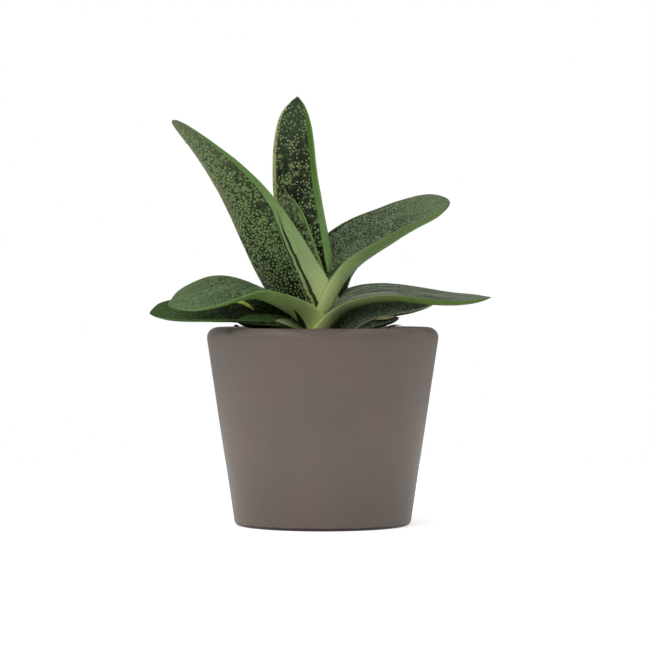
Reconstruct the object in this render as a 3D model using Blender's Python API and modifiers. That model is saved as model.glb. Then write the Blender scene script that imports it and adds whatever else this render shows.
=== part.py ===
"""A small two-ranked gasteria in a tapered stoneware pot.

Units are metres, +Z is up, and -Y is the front. The origin is the centre of the pot's foot, on the
surface that the pot stands on. Every leaf, the stem, the potting mix, the bark chips and the pot
are solids of their own. Outer leaves clasp inner ones, so each leaf is cut back from the leaves
inside it by a small gap.
"""

import math

import bmesh
import bpy
from mathutils import Vector

MM = 0.001

# Pot
POT_HEIGHT = 85.6 * MM
POT_TOP_RADIUS = 50.8 * MM  # where the straight wall would meet the rim's level
POT_BASE_RADIUS = 38 * MM  # where the straight wall would meet the ground
POT_WALL = 6 * MM
POT_FLOOR = 6 * MM
RIM_OUTER_ROUND = 4 * MM
RIM_INNER_ROUND = 1.6 * MM
HEEL_ROUND = 2.4 * MM
POT_SEGMENTS = 64
ROUND_STEPS = 4

# Potting mix
GAP = 0.3 * MM  # between solids that touch on the real plant
MOST_GROWTH = 2.0  # a cutter's sharp edges grow by at most this many gaps
MIX_LEVEL = 80 * MM
MIX_RADIUS = 45 * MM
MIX_CROWN = 3.2 * MM  # how far the mix rises towards the stem
MIX_RINGS = 6

# Stem
STEM_FOOT_Z = 66 * MM
STEM_TOP_Z = 97 * MM
STEM_RADIUS = 5.2 * MM
STEM_SEGMENTS = 20

# Leaves: the cage that a Subdivision Surface rounds off
LEAF_RINGS = 10
LEAF_LEVELS = 1
RING_CROWDING = 1.5  # more than 1 brings the rings closer together towards the tip
EDGE_CREASE = 0.45
KEEL_CREASE = 0.35

# Colours: (base colour, roughness)
FINISHES = {
    "pot_clay": ((0.172, 0.136, 0.116), 0.5),
    "leaf_skin": ((0.075, 0.115, 0.045), 0.42),
    "stem_skin": ((0.27, 0.31, 0.13), 0.5),
    "potting_mix": ((0.035, 0.025, 0.018), 0.95),
    "bark": ((0.11, 0.065, 0.038), 0.9),
    "withered_leaf": ((0.36, 0.34, 0.10), 0.6),
}

# Each leaf, from the innermost to the outermost, in millimetres.
#   line    stations along the middle of the upper face, from the stem to the tip: x, y, z and the
#           width there, from margin to margin
#   face    which way the upper face looks, at even steps from the stem to the tip
#   keel    depth of the keel below the upper face, at even steps from the stem to the tip
#   side    where the keel lies: -1 is one margin, 1 the other
#   point   how sharp the tip is: 0, where nothing is given, is blunt
LEAVES = {
    "leaf_centre_young": {
        "line": [
            (1, 0, 88, 10), (-1.5, -1, 97, 11), (-6.4, -2, 107.8, 12.5), (-9.3, -3, 114.8, 13.8),
            (-12, -3, 121.7, 14.8), (-13.9, -3, 127.8, 14.2), (-15.3, -3, 133, 13.2),
            (-16.3, -3, 137.6, 11), (-16.6, -3, 140.6, 7.2), (-16.3, -3, 142.5, 2.4),
            (-16.1, -3, 145.4, 0),
        ],
        "face": [(-0.4, -0.9, 0.2), (-0.55, -0.83, 0.15), (-0.5, -0.86, 0.1)],
        "keel": (6, 4), "side": 0.92, "point": 1,
    },
    "leaf_back_tall": {
        "line": [
            (2, 2, 86, 14), (-1.6, 2.5, 95, 17), (-5.2, 3, 103.8, 19.5), (-8.2, 3.5, 114.7, 21.6),
            (-10.1, 4.5, 125.6, 22.6), (-11.9, 6, 136.6, 22.2), (-13.1, 8, 145.3, 21.2),
            (-13.8, 10, 156.2, 20.4), (-13.9, 12, 167.2, 18.9), (-13.5, 13, 175, 16.4),
            (-12.5, 13.5, 180.9, 11.8), (-11.6, 14, 184.2, 6.4), (-11, 14, 186.8, 0),
        ],
        "face": [(-0.5, -0.86, 0.15), (-0.5, -0.86, 0.05), (-0.5, -0.86, 0.0)],
        "keel": (8.8, 4.6), "side": 0.92, "point": 0.7,
    },
    "leaf_left_tall": {
        "line": [
            (2.2, 3, 84, 27), (-5.7, 1, 95, 29.8), (-13.1, -2, 106.5, 29.8),
            (-20.3, -5.5, 119.6, 28.4), (-27, -9, 132.1, 25.2), (-33, -11.5, 141.3, 21.7),
            (-38.7, -14, 149.3, 18.3), (-44.5, -15.5, 155.7, 14.5), (-49.9, -17, 161.3, 11.1),
            (-57.9, -18.5, 169, 6.8), (-63.5, -19.7, 173.5, 4.2), (-65.2, -20, 174.7, 0),
        ],
        "face": [(0.4, 0.9, 0.25), (0.3, 0.93, 0.3), (0.3, 0.9, 0.4)],
        "keel": (9, 4.5), "side": -0.58,
    },
    "leaf_right_long": {
        "line": [
            (-5, 0, 85, 24), (-5, -1, 95, 25), (-4.1, 0.3, 103.8, 25), (-1.5, 3, 111, 25),
            (2.5, 5.8, 117.5, 26.4), (7.5, 7.6, 122.5, 25.2), (14.2, 8.8, 126, 22.5),
            (21.3, 9.5, 129.2, 19.7), (29.3, 10.5, 132.9, 18), (37, 11.5, 136.3, 16.4),
            (45.6, 12.5, 138.9, 14.6), (52.2, 13.5, 140.3, 11.5), (56.9, 14, 140.2, 0),
        ],
        "face": [
            (-1, 0.15, 0), (-0.78, -0.55, 0.36), (-0.48, -0.71, 0.54), (-0.3, -0.74, 0.6),
            (-0.2, -0.7, 0.66),
        ],
        "keel": (7.5, 8.8, 8.9, 6.2, 4.4), "side": 0.86,
    },
    "leaf_back_right": {
        "line": [
            (1.5, 3, 87, 15), (2.5, 6, 97, 17), (4, 8.5, 105, 17), (6.6, 12, 110.5, 16.5),
            (12.5, 18, 117, 15), (19.5, 24.5, 122.5, 12), (26, 30, 126.5, 8), (31, 34, 128.8, 0),
        ],
        "face": [(-0.5, -0.7, 0.5), (-0.5, -0.65, 0.55), (-0.35, -0.65, 0.68)],
        "keel": (5.5, 3.5), "side": 0.5,
    },
    "leaf_left_arched": {
        "line": [
            (1, -2.5, 81, 17), (-2.5, -5.2, 91.4, 19.4), (-8.5, -9, 96.4, 20.4),
            (-16.6, -14.5, 100, 20.6), (-24, -20, 102.8, 20.8), (-31.4, -26, 104.8, 20.6),
            (-39, -32, 103.9, 20.2), (-47.9, -37, 100.9, 18.2), (-55.5, -40.5, 98.3, 14),
            (-60.8, -42.6, 96.8, 9.6), (-65.2, -44, 95.3, 0),
        ],
        "face": [
            (0.6, 0.3, 0.75), (0.1, -0.02, 0.98), (0, -0.27, 0.96), (-0.1, -0.75, 0.65),
            (-0.15, -0.85, 0.5),
        ],
        "keel": (9.5, 5.8, 5.2, 4.9, 3.6), "side": -0.6, "point": 0.4,
    },
    "leaf_left_low": {
        "line": [
            (1, 0, 83.5, 15), (-10, -3, 90, 18), (-18, -8, 92.4, 19), (-27, -12, 93.3, 19.5),
            (-36, -16, 94.3, 19.5), (-46.5, -20, 94.2, 19), (-57, -24, 93.6, 17.5),
            (-64.5, -27, 93.1, 16), (-70, -29, 92.5, 10.4), (-73.7, -30, 91.8, 0),
        ],
        "face": [(0.2, -0.4, 0.9), (-0.05, -0.6, 0.8), (-0.1, -0.6, 0.8)],
        "keel": (6, 3), "side": -0.5, "point": 0.4,
    },
    "leaf_right_arched": {
        "line": [
            (-9, -4, 82, 22), (-3.4, -5.5, 90, 24), (3.4, -8, 96.4, 24.6), (11, -11, 100.5, 24),
            (20.3, -14, 102.1, 21.6), (29.5, -16, 102.3, 19.6), (38.4, -17.5, 101.3, 17.8),
            (48.1, -19, 99.7, 15.6), (57.5, -20.5, 98.7, 12.6), (65.1, -21.5, 98.6, 8.8),
            (72, -22, 98.7, 0),
        ],
        "face": [
            (-0.68, -0.18, 0.68), (-0.3, -0.3, 0.92), (0, -0.26, 0.96), (0.05, -0.28, 0.95),
            (0.05, -0.35, 0.94),
        ],
        "keel": (8, 5.4, 3.9, 3.4, 2.2), "side": 0.75, "point": 0.6,
    },
    "leaf_right_tucked": {
        "line": [
            (2, -3, 80, 13), (9, -6, 87.5, 15), (15, -7.5, 90.8, 16), (22, -9, 93, 16.5),
            (30, -11, 94.8, 14.8), (39, -12.5, 96.1, 9.8), (49.5, -14, 96.8, 0),
        ],
        "face": [(-0.3, -0.7, 0.7), (0, -0.6, 0.8), (0.05, -0.6, 0.8)],
        "keel": (5, 3), "side": 0.5,
    },
    "leaf_left_short": {
        "line": [
            (-1, -6, 81, 9), (-9, -11, 86.6, 10.5), (-16, -16, 88.6, 11), (-24, -20, 89.3, 10.5),
            (-31, -23, 89.2, 9), (-37.4, -25, 88.7, 0),
        ],
        "face": [(0.1, -0.6, 0.8), (-0.05, -0.5, 0.86), (-0.1, -0.5, 0.86)],
        "keel": (4.2, 3.8), "side": -0.5,
    },
    "leaf_right_old": {
        "line": [
            (4, -6, 80, 9), (12, -9, 85.4, 11), (18, -11.5, 87.8, 11.5), (25, -14, 89.2, 10),
            (33.5, -16, 90, 0),
        ],
        "face": [(-0.2, -0.7, 0.7), (0, -0.6, 0.8), (0.05, -0.5, 0.85)],
        "keel": (3.6, 2.6), "side": 0.5,
    },
    "leaf_left_bud": {
        "line": [
            (2, -9, 78.5, 7), (-4, -12, 83.6, 7.6), (-9.5, -16, 86.2, 7.6), (-15, -20, 88, 7),
            (-20.8, -23.5, 89, 0),
        ],
        "face": [(0.2, -0.6, 0.8), (0, -0.6, 0.8), (-0.1, -0.6, 0.8)],
        "keel": (3.4, 2.6), "side": -0.4,
    },
}

# Dry bits that lie about the plant, laid out like the leaves.
SCRAPS = {
    "withered_sliver": {
        "line": [
            (-44, -14, 95, 1.6), (-41.5, -14, 96.6, 2.2), (-38, -14, 97.4, 2.4),
            (-34, -14, 97, 2.4), (-31, -14.2, 95.6, 2.2), (-29.6, -14.5, 93.8, 0),
        ],
        "face": [(-0.5, -0.5, 0.7), (0, -0.5, 0.85), (0.6, -0.5, 0.6)],
        "keel": (1.2, 1), "side": 0.2, "finish": "withered_leaf",
    },
    "withered_husk": {
        "line": [
            (22.5, -13, 90.2, 2.4), (25.5, -14.5, 91, 3.4), (28, -15.5, 91, 3), (31, -16, 91.6, 0),
        ],
        "face": [(0, -0.5, 0.85), (0.1, -0.5, 0.85)],
        "keel": (1.2, 1), "side": -0.2, "finish": "bark",
    },
    "twig": {
        "line": [
            (24.6, -20, 78.6, 1.6), (25.6, -20, 83.4, 1.6), (27.4, -20, 86.3, 1.5),
            (31, -20, 86.8, 1.3), (34.4, -20.4, 86.8, 0),
        ],
        "face": [(-0.6, -0.3, 0.7), (0, -0.3, 0.95)],
        "keel": (1.4, 1.2), "side": 0.1, "finish": "bark",
    },
}

# Bark chips on the potting mix: place, length, width, height (mm) and turn (degrees)
CHIPS = {
    "bark_chip_front": (23, -30.5, 8, 5, 2.2, 15),
    "bark_chip_right": (37, 3, 7, 4.5, 2.4, 70),
    "bark_chip_back": (-15, 34, 9, 5.5, 2.4, 160),
    "bark_chip_left": (-38, 9, 6.5, 5, 2.0, 110),
    "bark_chip_back_right": (22, 31, 6, 4, 2.2, 35),
}


# --- Helpers ---------------------------------------------------------------------------------

def clear_scene():
    """Remove every object that the file starts with."""
    for obj in list(bpy.data.objects):
        bpy.data.objects.remove(obj)


def new_collection(name):
    """A collection linked to the scene."""
    collection = bpy.data.collections.new(name)
    bpy.context.scene.collection.children.link(collection)
    return collection


def finish_material(name):
    """The Principled material of one finish, made once."""
    material = bpy.data.materials.get(name)
    if material is None:
        colour, roughness = FINISHES[name]
        material = bpy.data.materials.new(name)
        material.use_nodes = True
        shader = material.node_tree.nodes["Principled BSDF"]
        shader.inputs["Base Color"].default_value = (*colour, 1)
        shader.inputs["Roughness"].default_value = roughness
        shader.inputs["Metallic"].default_value = 0
        material.diffuse_color = (*colour, 1)
    return material


def add_object(name, mesh, collection, finish):
    """Link a mesh as a named object with one finish."""
    obj = bpy.data.objects.new(name, mesh)
    mesh.materials.clear()
    mesh.materials.append(finish_material(finish))
    collection.objects.link(obj)
    return obj


def mesh_from(bm, name):
    """Turn a bmesh into a mesh, with its faces pointing out."""
    bmesh.ops.recalc_face_normals(bm, faces=bm.faces)
    mesh = bpy.data.meshes.new(name)
    bm.to_mesh(mesh)
    bm.free()
    return mesh


def arc(centre, radius, start_deg, end_deg, steps=ROUND_STEPS):
    """Points (r, z) of an arc in the profile plane, from one angle to another."""
    points = []
    for i in range(steps + 1):
        angle = math.radians(start_deg + (end_deg - start_deg) * i / steps)
        points.append((centre[0] + radius * math.cos(angle), centre[1] + radius * math.sin(angle)))
    return points


def turned(name, profile, segments, collection, finish):
    """A solid of revolution about +Z: the profile runs down its outer side, and on to the axis."""
    mesh = bpy.data.meshes.new(name)
    spans = [(i, i + 1) for i in range(len(profile) - 1)]
    mesh.from_pydata([(r, 0, z) for r, z in profile], spans, [])
    obj = add_object(name, mesh, collection, finish)
    screw = obj.modifiers.new("turn", "SCREW")
    screw.steps = segments
    screw.render_steps = segments
    screw.use_merge_vertices = True
    screw.merge_threshold = 0.00005
    screw.use_smooth_shade = True
    return obj


# --- Pot and what fills it -------------------------------------------------------------------

def wall_radius(z):
    """The pot's outer radius at a height, along its straight wall."""
    return POT_BASE_RADIUS + (POT_TOP_RADIUS - POT_BASE_RADIUS) * z / POT_HEIGHT


def make_pot(collection):
    """The tapered pot: inner wall, round rim, outer wall, round heel and a flat foot."""
    slope = math.degrees(math.atan2(POT_TOP_RADIUS - POT_BASE_RADIUS, POT_HEIGHT))
    inner_z = POT_HEIGHT - RIM_INNER_ROUND
    outer_z = POT_HEIGHT - RIM_OUTER_ROUND
    inner_centre = (wall_radius(inner_z) - POT_WALL + RIM_INNER_ROUND, inner_z)
    outer_centre = (wall_radius(outer_z) - RIM_OUTER_ROUND, outer_z)
    inner_base = (wall_radius(POT_FLOOR) - POT_WALL, POT_FLOOR)
    heel_centre = (wall_radius(HEEL_ROUND) - HEEL_ROUND, HEEL_ROUND)
    profile = [(0, POT_FLOOR), inner_base]
    profile += arc(inner_centre, RIM_INNER_ROUND, 180 - slope, 90)
    profile += arc(outer_centre, RIM_OUTER_ROUND, 90, -slope)
    profile += arc(heel_centre, HEEL_ROUND, -slope, -90) + [(0, 0)]
    return turned("pot", profile, POT_SEGMENTS, collection, "pot_clay")


def mix_height(radius):
    """The level of the mix at a distance from the axis: it rises towards the stem."""
    share = min(max(radius / MIX_RADIUS, 0), 1)
    return MIX_LEVEL + MIX_CROWN * (1 - share) ** 2


def make_mix(collection):
    """The potting mix: it fills the pot and rises gently towards the stem, which stands in it."""
    edge = wall_radius(MIX_LEVEL) - POT_WALL - GAP
    low_edge = wall_radius(POT_FLOOR) - POT_WALL - GAP
    hole = STEM_RADIUS + GAP
    radii = [hole + (edge - hole) * i / MIX_RINGS for i in range(MIX_RINGS)]
    top = [(radius, mix_height(radius)) for radius in radii]
    profile = [(0, STEM_FOOT_Z - GAP), (hole, STEM_FOOT_Z - GAP)] + top
    profile += [(edge, MIX_LEVEL), (low_edge, POT_FLOOR + GAP), (0, POT_FLOOR + GAP)]
    return turned("potting_mix", profile, POT_SEGMENTS // 2, collection, "potting_mix")


def make_stem(collection):
    """The short thick stem that every leaf springs from, mostly hidden by their bases."""
    profile = [(0, STEM_TOP_Z), (0.45 * STEM_RADIUS, STEM_TOP_Z - 0.4 * MM)]
    profile += [(0.8 * STEM_RADIUS, STEM_TOP_Z - 3 * MM), (STEM_RADIUS, STEM_TOP_Z - 9 * MM)]
    profile += [(STEM_RADIUS, STEM_FOOT_Z + 2 * MM), (0.8 * STEM_RADIUS, STEM_FOOT_Z)]
    profile += [(0, STEM_FOOT_Z)]
    return turned("stem", profile, STEM_SEGMENTS, collection, "stem_skin")


# --- Leaves ----------------------------------------------------------------------------------

def smooth_curve(points, u):
    """The values at the share u of a Catmull-Rom curve through the points."""
    spans = len(points) - 1
    at = min(max(u, 0), 1) * spans
    i = min(int(at), spans - 1)
    t = at - i
    b, c = points[i], points[i + 1]
    a = points[i - 1] if i > 0 else b * 2 - c
    d = points[i + 2] if i < spans - 1 else c * 2 - b
    bend, twist = 2 * a - 5 * b + 4 * c - d, 3 * b - a - 3 * c + d
    return 0.5 * (2 * b + (c - a) * t + bend * t**2 + twist * t**3)


def even_curve(points, samples=240):
    """The same curve as a function of the share of its length in space."""
    line = [smooth_curve(points, i / samples) for i in range(samples + 1)]
    reach = [0.0]
    for a, b in zip(line, line[1:]):
        reach.append(reach[-1] + (b.xyz - a.xyz).length)

    def place(u):
        goal = min(max(u, 0), 1) * reach[-1]
        i = max(1, next((k for k, r in enumerate(reach) if r >= goal), samples))
        share = (goal - reach[i - 1]) / (reach[i] - reach[i - 1])
        return line[i - 1].lerp(line[i], share)

    return place


def leaf_frame(place, faces, u):
    """The leaf's station at u, with the unit directions across it and out of its upper face."""
    step = 0.01
    along = (place(min(u + step, 1)).xyz - place(max(u - step, 0)).xyz).normalized()
    wanted = smooth_curve(faces, u)
    out = (wanted - along * wanted.dot(along)).normalized()
    return place(u), along.cross(out).normalized(), out


def at_share(values, u):
    """The value at the share u of a row of evenly spaced values."""
    spans = len(values) - 1
    i = min(int(u * spans), spans - 1)
    return values[i] + (values[i + 1] - values[i]) * (u * spans - i)


def leaf_section(leaf, u, half):
    """The keeled section at u, as (across, out) in metres, from one margin round by the keel."""
    depth = at_share(leaf["keel"], u) * MM * max(1 - u**8, 0) ** 0.5
    depth = min(depth, 1.3 * half)
    groove = 0.16 * depth * (1 - u)
    keel_at = leaf["side"] * half
    section = [(-half, 0), (-0.45 * half, -groove), (0.45 * half, -groove), (half, 0)]
    if leaf["side"] > 0:
        section += [(0.51 * (half + keel_at) + 0.12 * half, -0.5 * depth), (keel_at, -depth)]
        section += [(0.1 * half, -0.82 * depth), (-0.55 * half, -0.48 * depth)]
    else:
        section += [(0.55 * half, -0.48 * depth), (-0.1 * half, -0.82 * depth), (keel_at, -depth)]
        section += [(0.51 * (keel_at - half) - 0.12 * half, -0.5 * depth)]
    return section


def leaf_cage(leaf):
    """The leaf's coarse cage as a bmesh: rings of eight points, an end cap and a pointed tip."""
    ring_count = min(len(leaf["line"]) + 1, LEAF_RINGS)
    place = even_curve([Vector(p) * MM for p in leaf["line"]])
    faces = [Vector(f).normalized() for f in leaf["face"]]
    bm = bmesh.new()
    crease = bm.edges.layers.float.new("crease_edge")
    sharp_point = bm.verts.layers.float.new("crease_vert")
    rings = []
    for i in range(ring_count):
        u = 1 - (1 - i / ring_count) ** RING_CROWDING
        centre, across, out = leaf_frame(place, faces, u)
        section = leaf_section(leaf, u, 0.5 * centre.w)
        rings.append([bm.verts.new(centre.xyz + across * x + out * z) for x, z in section])
    count = len(rings[0])
    for low, high in zip(rings, rings[1:]):
        for j in range(count):
            k = (j + 1) % count
            bm.faces.new((low[j], low[k], high[k], high[j]))
    bm.faces.new(rings[0][::-1])
    tip = bm.verts.new(place(1).xyz)
    tip[sharp_point] = leaf.get("point", 0)
    for j in range(count):
        bm.faces.new((rings[-1][j], rings[-1][(j + 1) % count], tip))
    keel_point = 5 if leaf["side"] > 0 else 6
    for low, high in zip(rings, rings[1:]):
        for j, sharp in ((0, EDGE_CREASE), (3, EDGE_CREASE), (keel_point, KEEL_CREASE)):
            bm.edges.get((low[j], high[j]))[crease] = sharp
    return bm


def make_leaf(name, leaf, collection):
    """One leaf: its cage, rounded off by a Subdivision Surface."""
    finish = leaf.get("finish", "leaf_skin")
    obj = add_object(name, mesh_from(leaf_cage(leaf), name), collection, finish)
    subdivision = obj.modifiers.new("round", "SUBSURF")
    subdivision.levels = LEAF_LEVELS
    subdivision.render_levels = LEAF_LEVELS
    return obj


def solved_mesh(obj):
    """The object's mesh with its modifiers worked out."""
    bpy.context.view_layer.update()
    return bpy.data.meshes.new_from_object(obj.evaluated_get(bpy.context.evaluated_depsgraph_get()))


def make_cutter(obj, clearance=GAP):
    """A copy of a solid, grown evenly by the clearance, to cut its neighbours back with."""
    bm = bmesh.new()
    bm.from_mesh(solved_mesh(obj))
    bm.normal_update()
    grown = []
    for vert in bm.verts:
        growth = clearance * min(vert.calc_shell_factor(), MOST_GROWTH)
        grown.append(vert.co + vert.normal * growth)
    for vert, place in zip(bm.verts, grown):
        vert.co = place
    mesh = mesh_from(bm, obj.name + "_cutter")
    cutter = bpy.data.objects.new(mesh.name, mesh)
    cutter.hide_render = True
    cutter.display_type = "WIRE"
    return cutter


def keep_largest_body(mesh):
    """Delete every loose body of the mesh but the one with the most surface."""
    bm = bmesh.new()
    bm.from_mesh(mesh)
    left = set(bm.verts)
    bodies = []
    while left:
        body, edge = set(), [left.pop()]
        while edge:
            vert = edge.pop()
            body.add(vert)
            near = {e.other_vert(vert) for e in vert.link_edges} & left
            left -= near
            edge.extend(near)
        bodies.append(body)

    def surface(body):
        return sum(face.calc_area() for face in {f for v in body for f in v.link_faces})

    bodies.sort(key=surface)
    for body in bodies[:-1]:
        bmesh.ops.delete(bm, geom=list(body), context="VERTS")
    bm.to_mesh(mesh)
    bm.free()


def cut_back(obj, cutters):
    """Cut the object back from every solid in the collection, and keep what stays in one piece."""
    boolean = obj.modifiers.new("cut_back", "BOOLEAN")
    boolean.operation = "DIFFERENCE"
    boolean.solver = "EXACT"
    boolean.operand_type = "COLLECTION"
    boolean.collection = cutters
    mesh = solved_mesh(obj)
    keep_largest_body(mesh)
    obj.modifiers.clear()
    obj.data = mesh


def make_chip(name, chip, collection):
    """A bark chip: a flat block with clipped corners, lying on the mix."""
    x, y, length, width, height, turn = chip
    bm = bmesh.new()
    bmesh.ops.create_cube(bm, size=1)
    for vert in bm.verts:
        lean = 0.82 if vert.co.z > 0 else 1.0
        skew = 0.12 if vert.co.y > 0 else -0.05
        vert.co.x = (vert.co.x + skew) * lean * length * MM
        vert.co.y *= lean * width * MM
        vert.co.z = (vert.co.z + 0.5) * (1 + 0.25 * vert.co.x / (length * MM)) * height * MM
    bmesh.ops.bevel(bm, geom=list(bm.edges), offset=0.18 * height * MM, segments=1, affect="EDGES")
    chip_object = add_object(name, mesh_from(bm, name), collection, "bark")
    reach = math.hypot(x, y) * MM - 0.5 * length * MM
    chip_object.location = (x * MM, y * MM, mix_height(reach) + GAP)
    chip_object.rotation_euler.z = math.radians(turn)
    return chip_object


def make_plant(parts, cutters):
    """Every leaf from the innermost out, each cut back from the solids inside it."""
    for name, leaf in {**LEAVES, **SCRAPS}.items():
        obj = make_leaf(name, leaf, parts)
        grown = make_cutter(obj)
        cut_back(obj, cutters)
        cutters.objects.link(grown)


def main():
    clear_scene()
    parts = new_collection("potted_gasteria")
    cutters = new_collection("cutters")
    make_pot(parts)
    mix = make_mix(parts)
    cutters.objects.link(make_cutter(make_stem(parts)))
    make_plant(parts, cutters)
    cut_back(mix, cutters)
    for name, chip in CHIPS.items():
        make_chip(name, chip, parts)


main()
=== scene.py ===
# %% [markdown]
# # Dressing a potted gasteria
#
# A gasteria is a small succulent. Its leaves are thick, keeled tongues in two ranks, dark green and
# covered with pale warts that run together into bands and mazes. This one grows in a plain tapered
# stoneware pot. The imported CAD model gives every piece's place and size in metres. This lesson gives
# each piece its fine surface: turned clay, leaves with real warts, and crumbly potting mix.

import math
from types import SimpleNamespace

import bmesh
import bpy
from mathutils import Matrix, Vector, noise


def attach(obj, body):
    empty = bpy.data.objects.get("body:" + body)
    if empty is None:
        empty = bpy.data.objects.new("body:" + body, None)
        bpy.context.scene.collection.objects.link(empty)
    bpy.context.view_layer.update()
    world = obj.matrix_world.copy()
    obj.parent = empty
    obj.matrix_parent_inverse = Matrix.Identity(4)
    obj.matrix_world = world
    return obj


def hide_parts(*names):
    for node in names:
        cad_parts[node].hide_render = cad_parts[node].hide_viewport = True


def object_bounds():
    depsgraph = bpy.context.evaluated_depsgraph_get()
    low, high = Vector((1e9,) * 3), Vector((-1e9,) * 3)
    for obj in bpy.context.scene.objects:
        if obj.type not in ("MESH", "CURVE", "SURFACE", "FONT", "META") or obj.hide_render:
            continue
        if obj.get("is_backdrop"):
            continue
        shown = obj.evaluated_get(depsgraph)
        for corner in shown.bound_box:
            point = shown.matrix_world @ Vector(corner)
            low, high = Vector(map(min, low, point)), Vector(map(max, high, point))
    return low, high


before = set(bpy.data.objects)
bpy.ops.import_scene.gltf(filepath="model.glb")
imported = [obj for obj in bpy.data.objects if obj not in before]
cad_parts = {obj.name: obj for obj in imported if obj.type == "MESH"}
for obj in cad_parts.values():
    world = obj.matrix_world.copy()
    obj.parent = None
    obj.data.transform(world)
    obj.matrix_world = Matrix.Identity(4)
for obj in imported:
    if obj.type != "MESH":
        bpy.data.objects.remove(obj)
CAD_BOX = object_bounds()
MM = 0.001
print("CAD box in mm:", [round(value / MM, 1) for corner in CAD_BOX for value in corner])

# %% [markdown]
# ## Camera
#
# A long lens from about 1.3 m away, a hand's breadth above the table and almost level, shows the rim
# as a thin ellipse and keeps the pot's sides from converging. A camera this far away needs no shift.

# %% Camera
LENS = 162  # millimetres
STAND = (0.001, -1.267, 0.104)  # metres
LOOK_DOWN = 0.79  # degrees
scene = bpy.context.scene


def link_object(name, data):
    """Make an object for some data and put it in the scene."""
    made = bpy.data.objects.new(name, data)
    scene.collection.objects.link(made)
    return made


lens = bpy.data.cameras.new("camera")
lens.lens = LENS
lens.sensor_width = 36
camera = link_object("camera", lens)
camera.location = STAND
camera.rotation_euler = (math.radians(90 - LOOK_DOWN), 0, 0)
scene.camera = camera
print("camera stands", round(-camera.location.y, 2), "m in front")

# %% [markdown]
# ## Lights
#
# Product shots of plants use large soft lights and a white room. A wide lamp overhead models the
# upper faces, a weaker one fills the front, and two at the sides brighten the pot's edges. Spotlights
# would throw hard shadows between the leaves, so all four are square area lights. The Standard view
# keeps a pale room pale.

# %% Light
LIGHT_AIM = Vector((0, 0, 0.1))  # the middle of the plant
LIGHTS = {  # its place in metres, its side in metres and its power in watts
    "light_above": ((-0.25, -0.35, 1.25), 1.1, 9.5),
    "light_front": ((-0.6, -1.7, 0.9), 1.0, 5),
    "light_left": ((-1.4, 0.4, 0.6), 0.9, 5),
    "light_right": ((1.4, 0.5, 0.6), 0.9, 3),
}
scene.view_settings.view_transform = "Standard"
for name, (place, side, power) in LIGHTS.items():
    lamp = bpy.data.lights.new(name, "AREA")
    lamp.size = side
    lamp.energy = power
    hung = link_object(name, lamp)
    hung.location = place
    hung.rotation_euler = (LIGHT_AIM - Vector(place)).to_track_quat("-Z", "Y").to_euler()

# %% [markdown]
# ## Helpers for node trees
#
# Materials and Geometry Nodes are both trees of nodes, so a few helpers serve them all. One adds a
# node and fills its sockets, and the others wrap the nodes that come up most often. Written out node
# by node, a material would be several times as long and harder to read.

# %% Node helpers


def add_node(tree, kind, inputs=None, **settings):
    """Add a node, set its properties, and give each named or numbered input a value or a link."""
    made = tree.nodes.new(kind)
    for key, value in settings.items():
        setattr(made, key, value)
    for key, value in (inputs or {}).items():
        if isinstance(value, bpy.types.NodeSocket):
            tree.links.new(value, made.inputs[key])
        else:
            made.inputs[key].default_value = value
    return made


def calculate(tree, operation, *values):
    """The result of a Math node."""
    return add_node(tree, "ShaderNodeMath", dict(enumerate(values)), operation=operation).outputs[0]


def times(tree, *values):
    """The product of two or more values."""
    product = values[0]
    for value in values[1:]:
        product = calculate(tree, "MULTIPLY", product, value)
    return product


def minus(tree, value, taken):
    """One value less another."""
    return calculate(tree, "SUBTRACT", value, taken)


def split(tree, vector):
    """A vector's three values."""
    return add_node(tree, "ShaderNodeSeparateXYZ", {0: vector}).outputs[:]


def join(tree, x, y, z):
    """Three values as a vector."""
    return add_node(tree, "ShaderNodeCombineXYZ", {0: x, 1: y, 2: z}).outputs[0]


def scaled(tree, vector, amount):
    """A vector times a number."""
    inputs = {0: vector, "Scale": amount}
    return add_node(tree, "ShaderNodeVectorMath", inputs, operation="SCALE").outputs[0]


def cloud(tree, place, scale, detail=2.0, rough=0.5, distort=0.0):
    """The grey value of a Noise Texture, with its scale in features per unit of the place."""
    inputs = {"Vector": place, "Scale": scale, "Detail": detail}
    inputs |= {"Roughness": rough, "Distortion": distort}
    return add_node(tree, "ShaderNodeTexNoise", inputs).outputs[0]


print("node helpers are ready")

# %% [markdown]
# ## Helpers for materials
#
# A finish starts from the Principled shader, which stands for most real surfaces with a few sockets.
# Its colour is built up in layers, as paint is, each with a share from 0 to 1 that says where it
# shows. Patterns are laid out in millimetres on the object itself, so a value reads like a size.

# %% Material helpers
WHITE_LEVEL = 255


def ramp(tree, value, low, high):
    """A soft step from 0 at low to 1 at high; it falls where low is above high."""
    inputs = {"Value": value, "From Min": low, "From Max": high}
    step = add_node(tree, "ShaderNodeMapRange", inputs, interpolation_type="SMOOTHSTEP")
    return step.outputs["Result"]


def layered(tree, tone, *layers):
    """A tone with layers over it, each given as its share from 0 to 1 and its colour."""
    for share, over in layers:
        made = add_node(tree, "ShaderNodeMix", {0: share, 6: tone, 7: over}, data_type="RGBA")
        tone = made.outputs[2]
    return tone


def place_in_mm(tree):
    """Object coordinates in millimetres."""
    return scaled(tree, add_node(tree, "ShaderNodeTexCoord").outputs["Object"], 1 / MM)


def colour(*levels):
    """A linear colour from red, green and blue levels of 0 to 255, by the sRGB curve."""
    return tuple(((level / WHITE_LEVEL + 0.055) / 1.055) ** 2.4 for level in levels) + (1.0,)


def new_material(name, roughness=0.5):
    """A material with a Principled shader: returns it, its tree and the shader."""
    material = bpy.data.materials.new(name)
    material.use_nodes = True
    shader = material.node_tree.nodes["Principled BSDF"]
    shader.inputs["Roughness"].default_value = roughness
    return material, material.node_tree, shader


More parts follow.
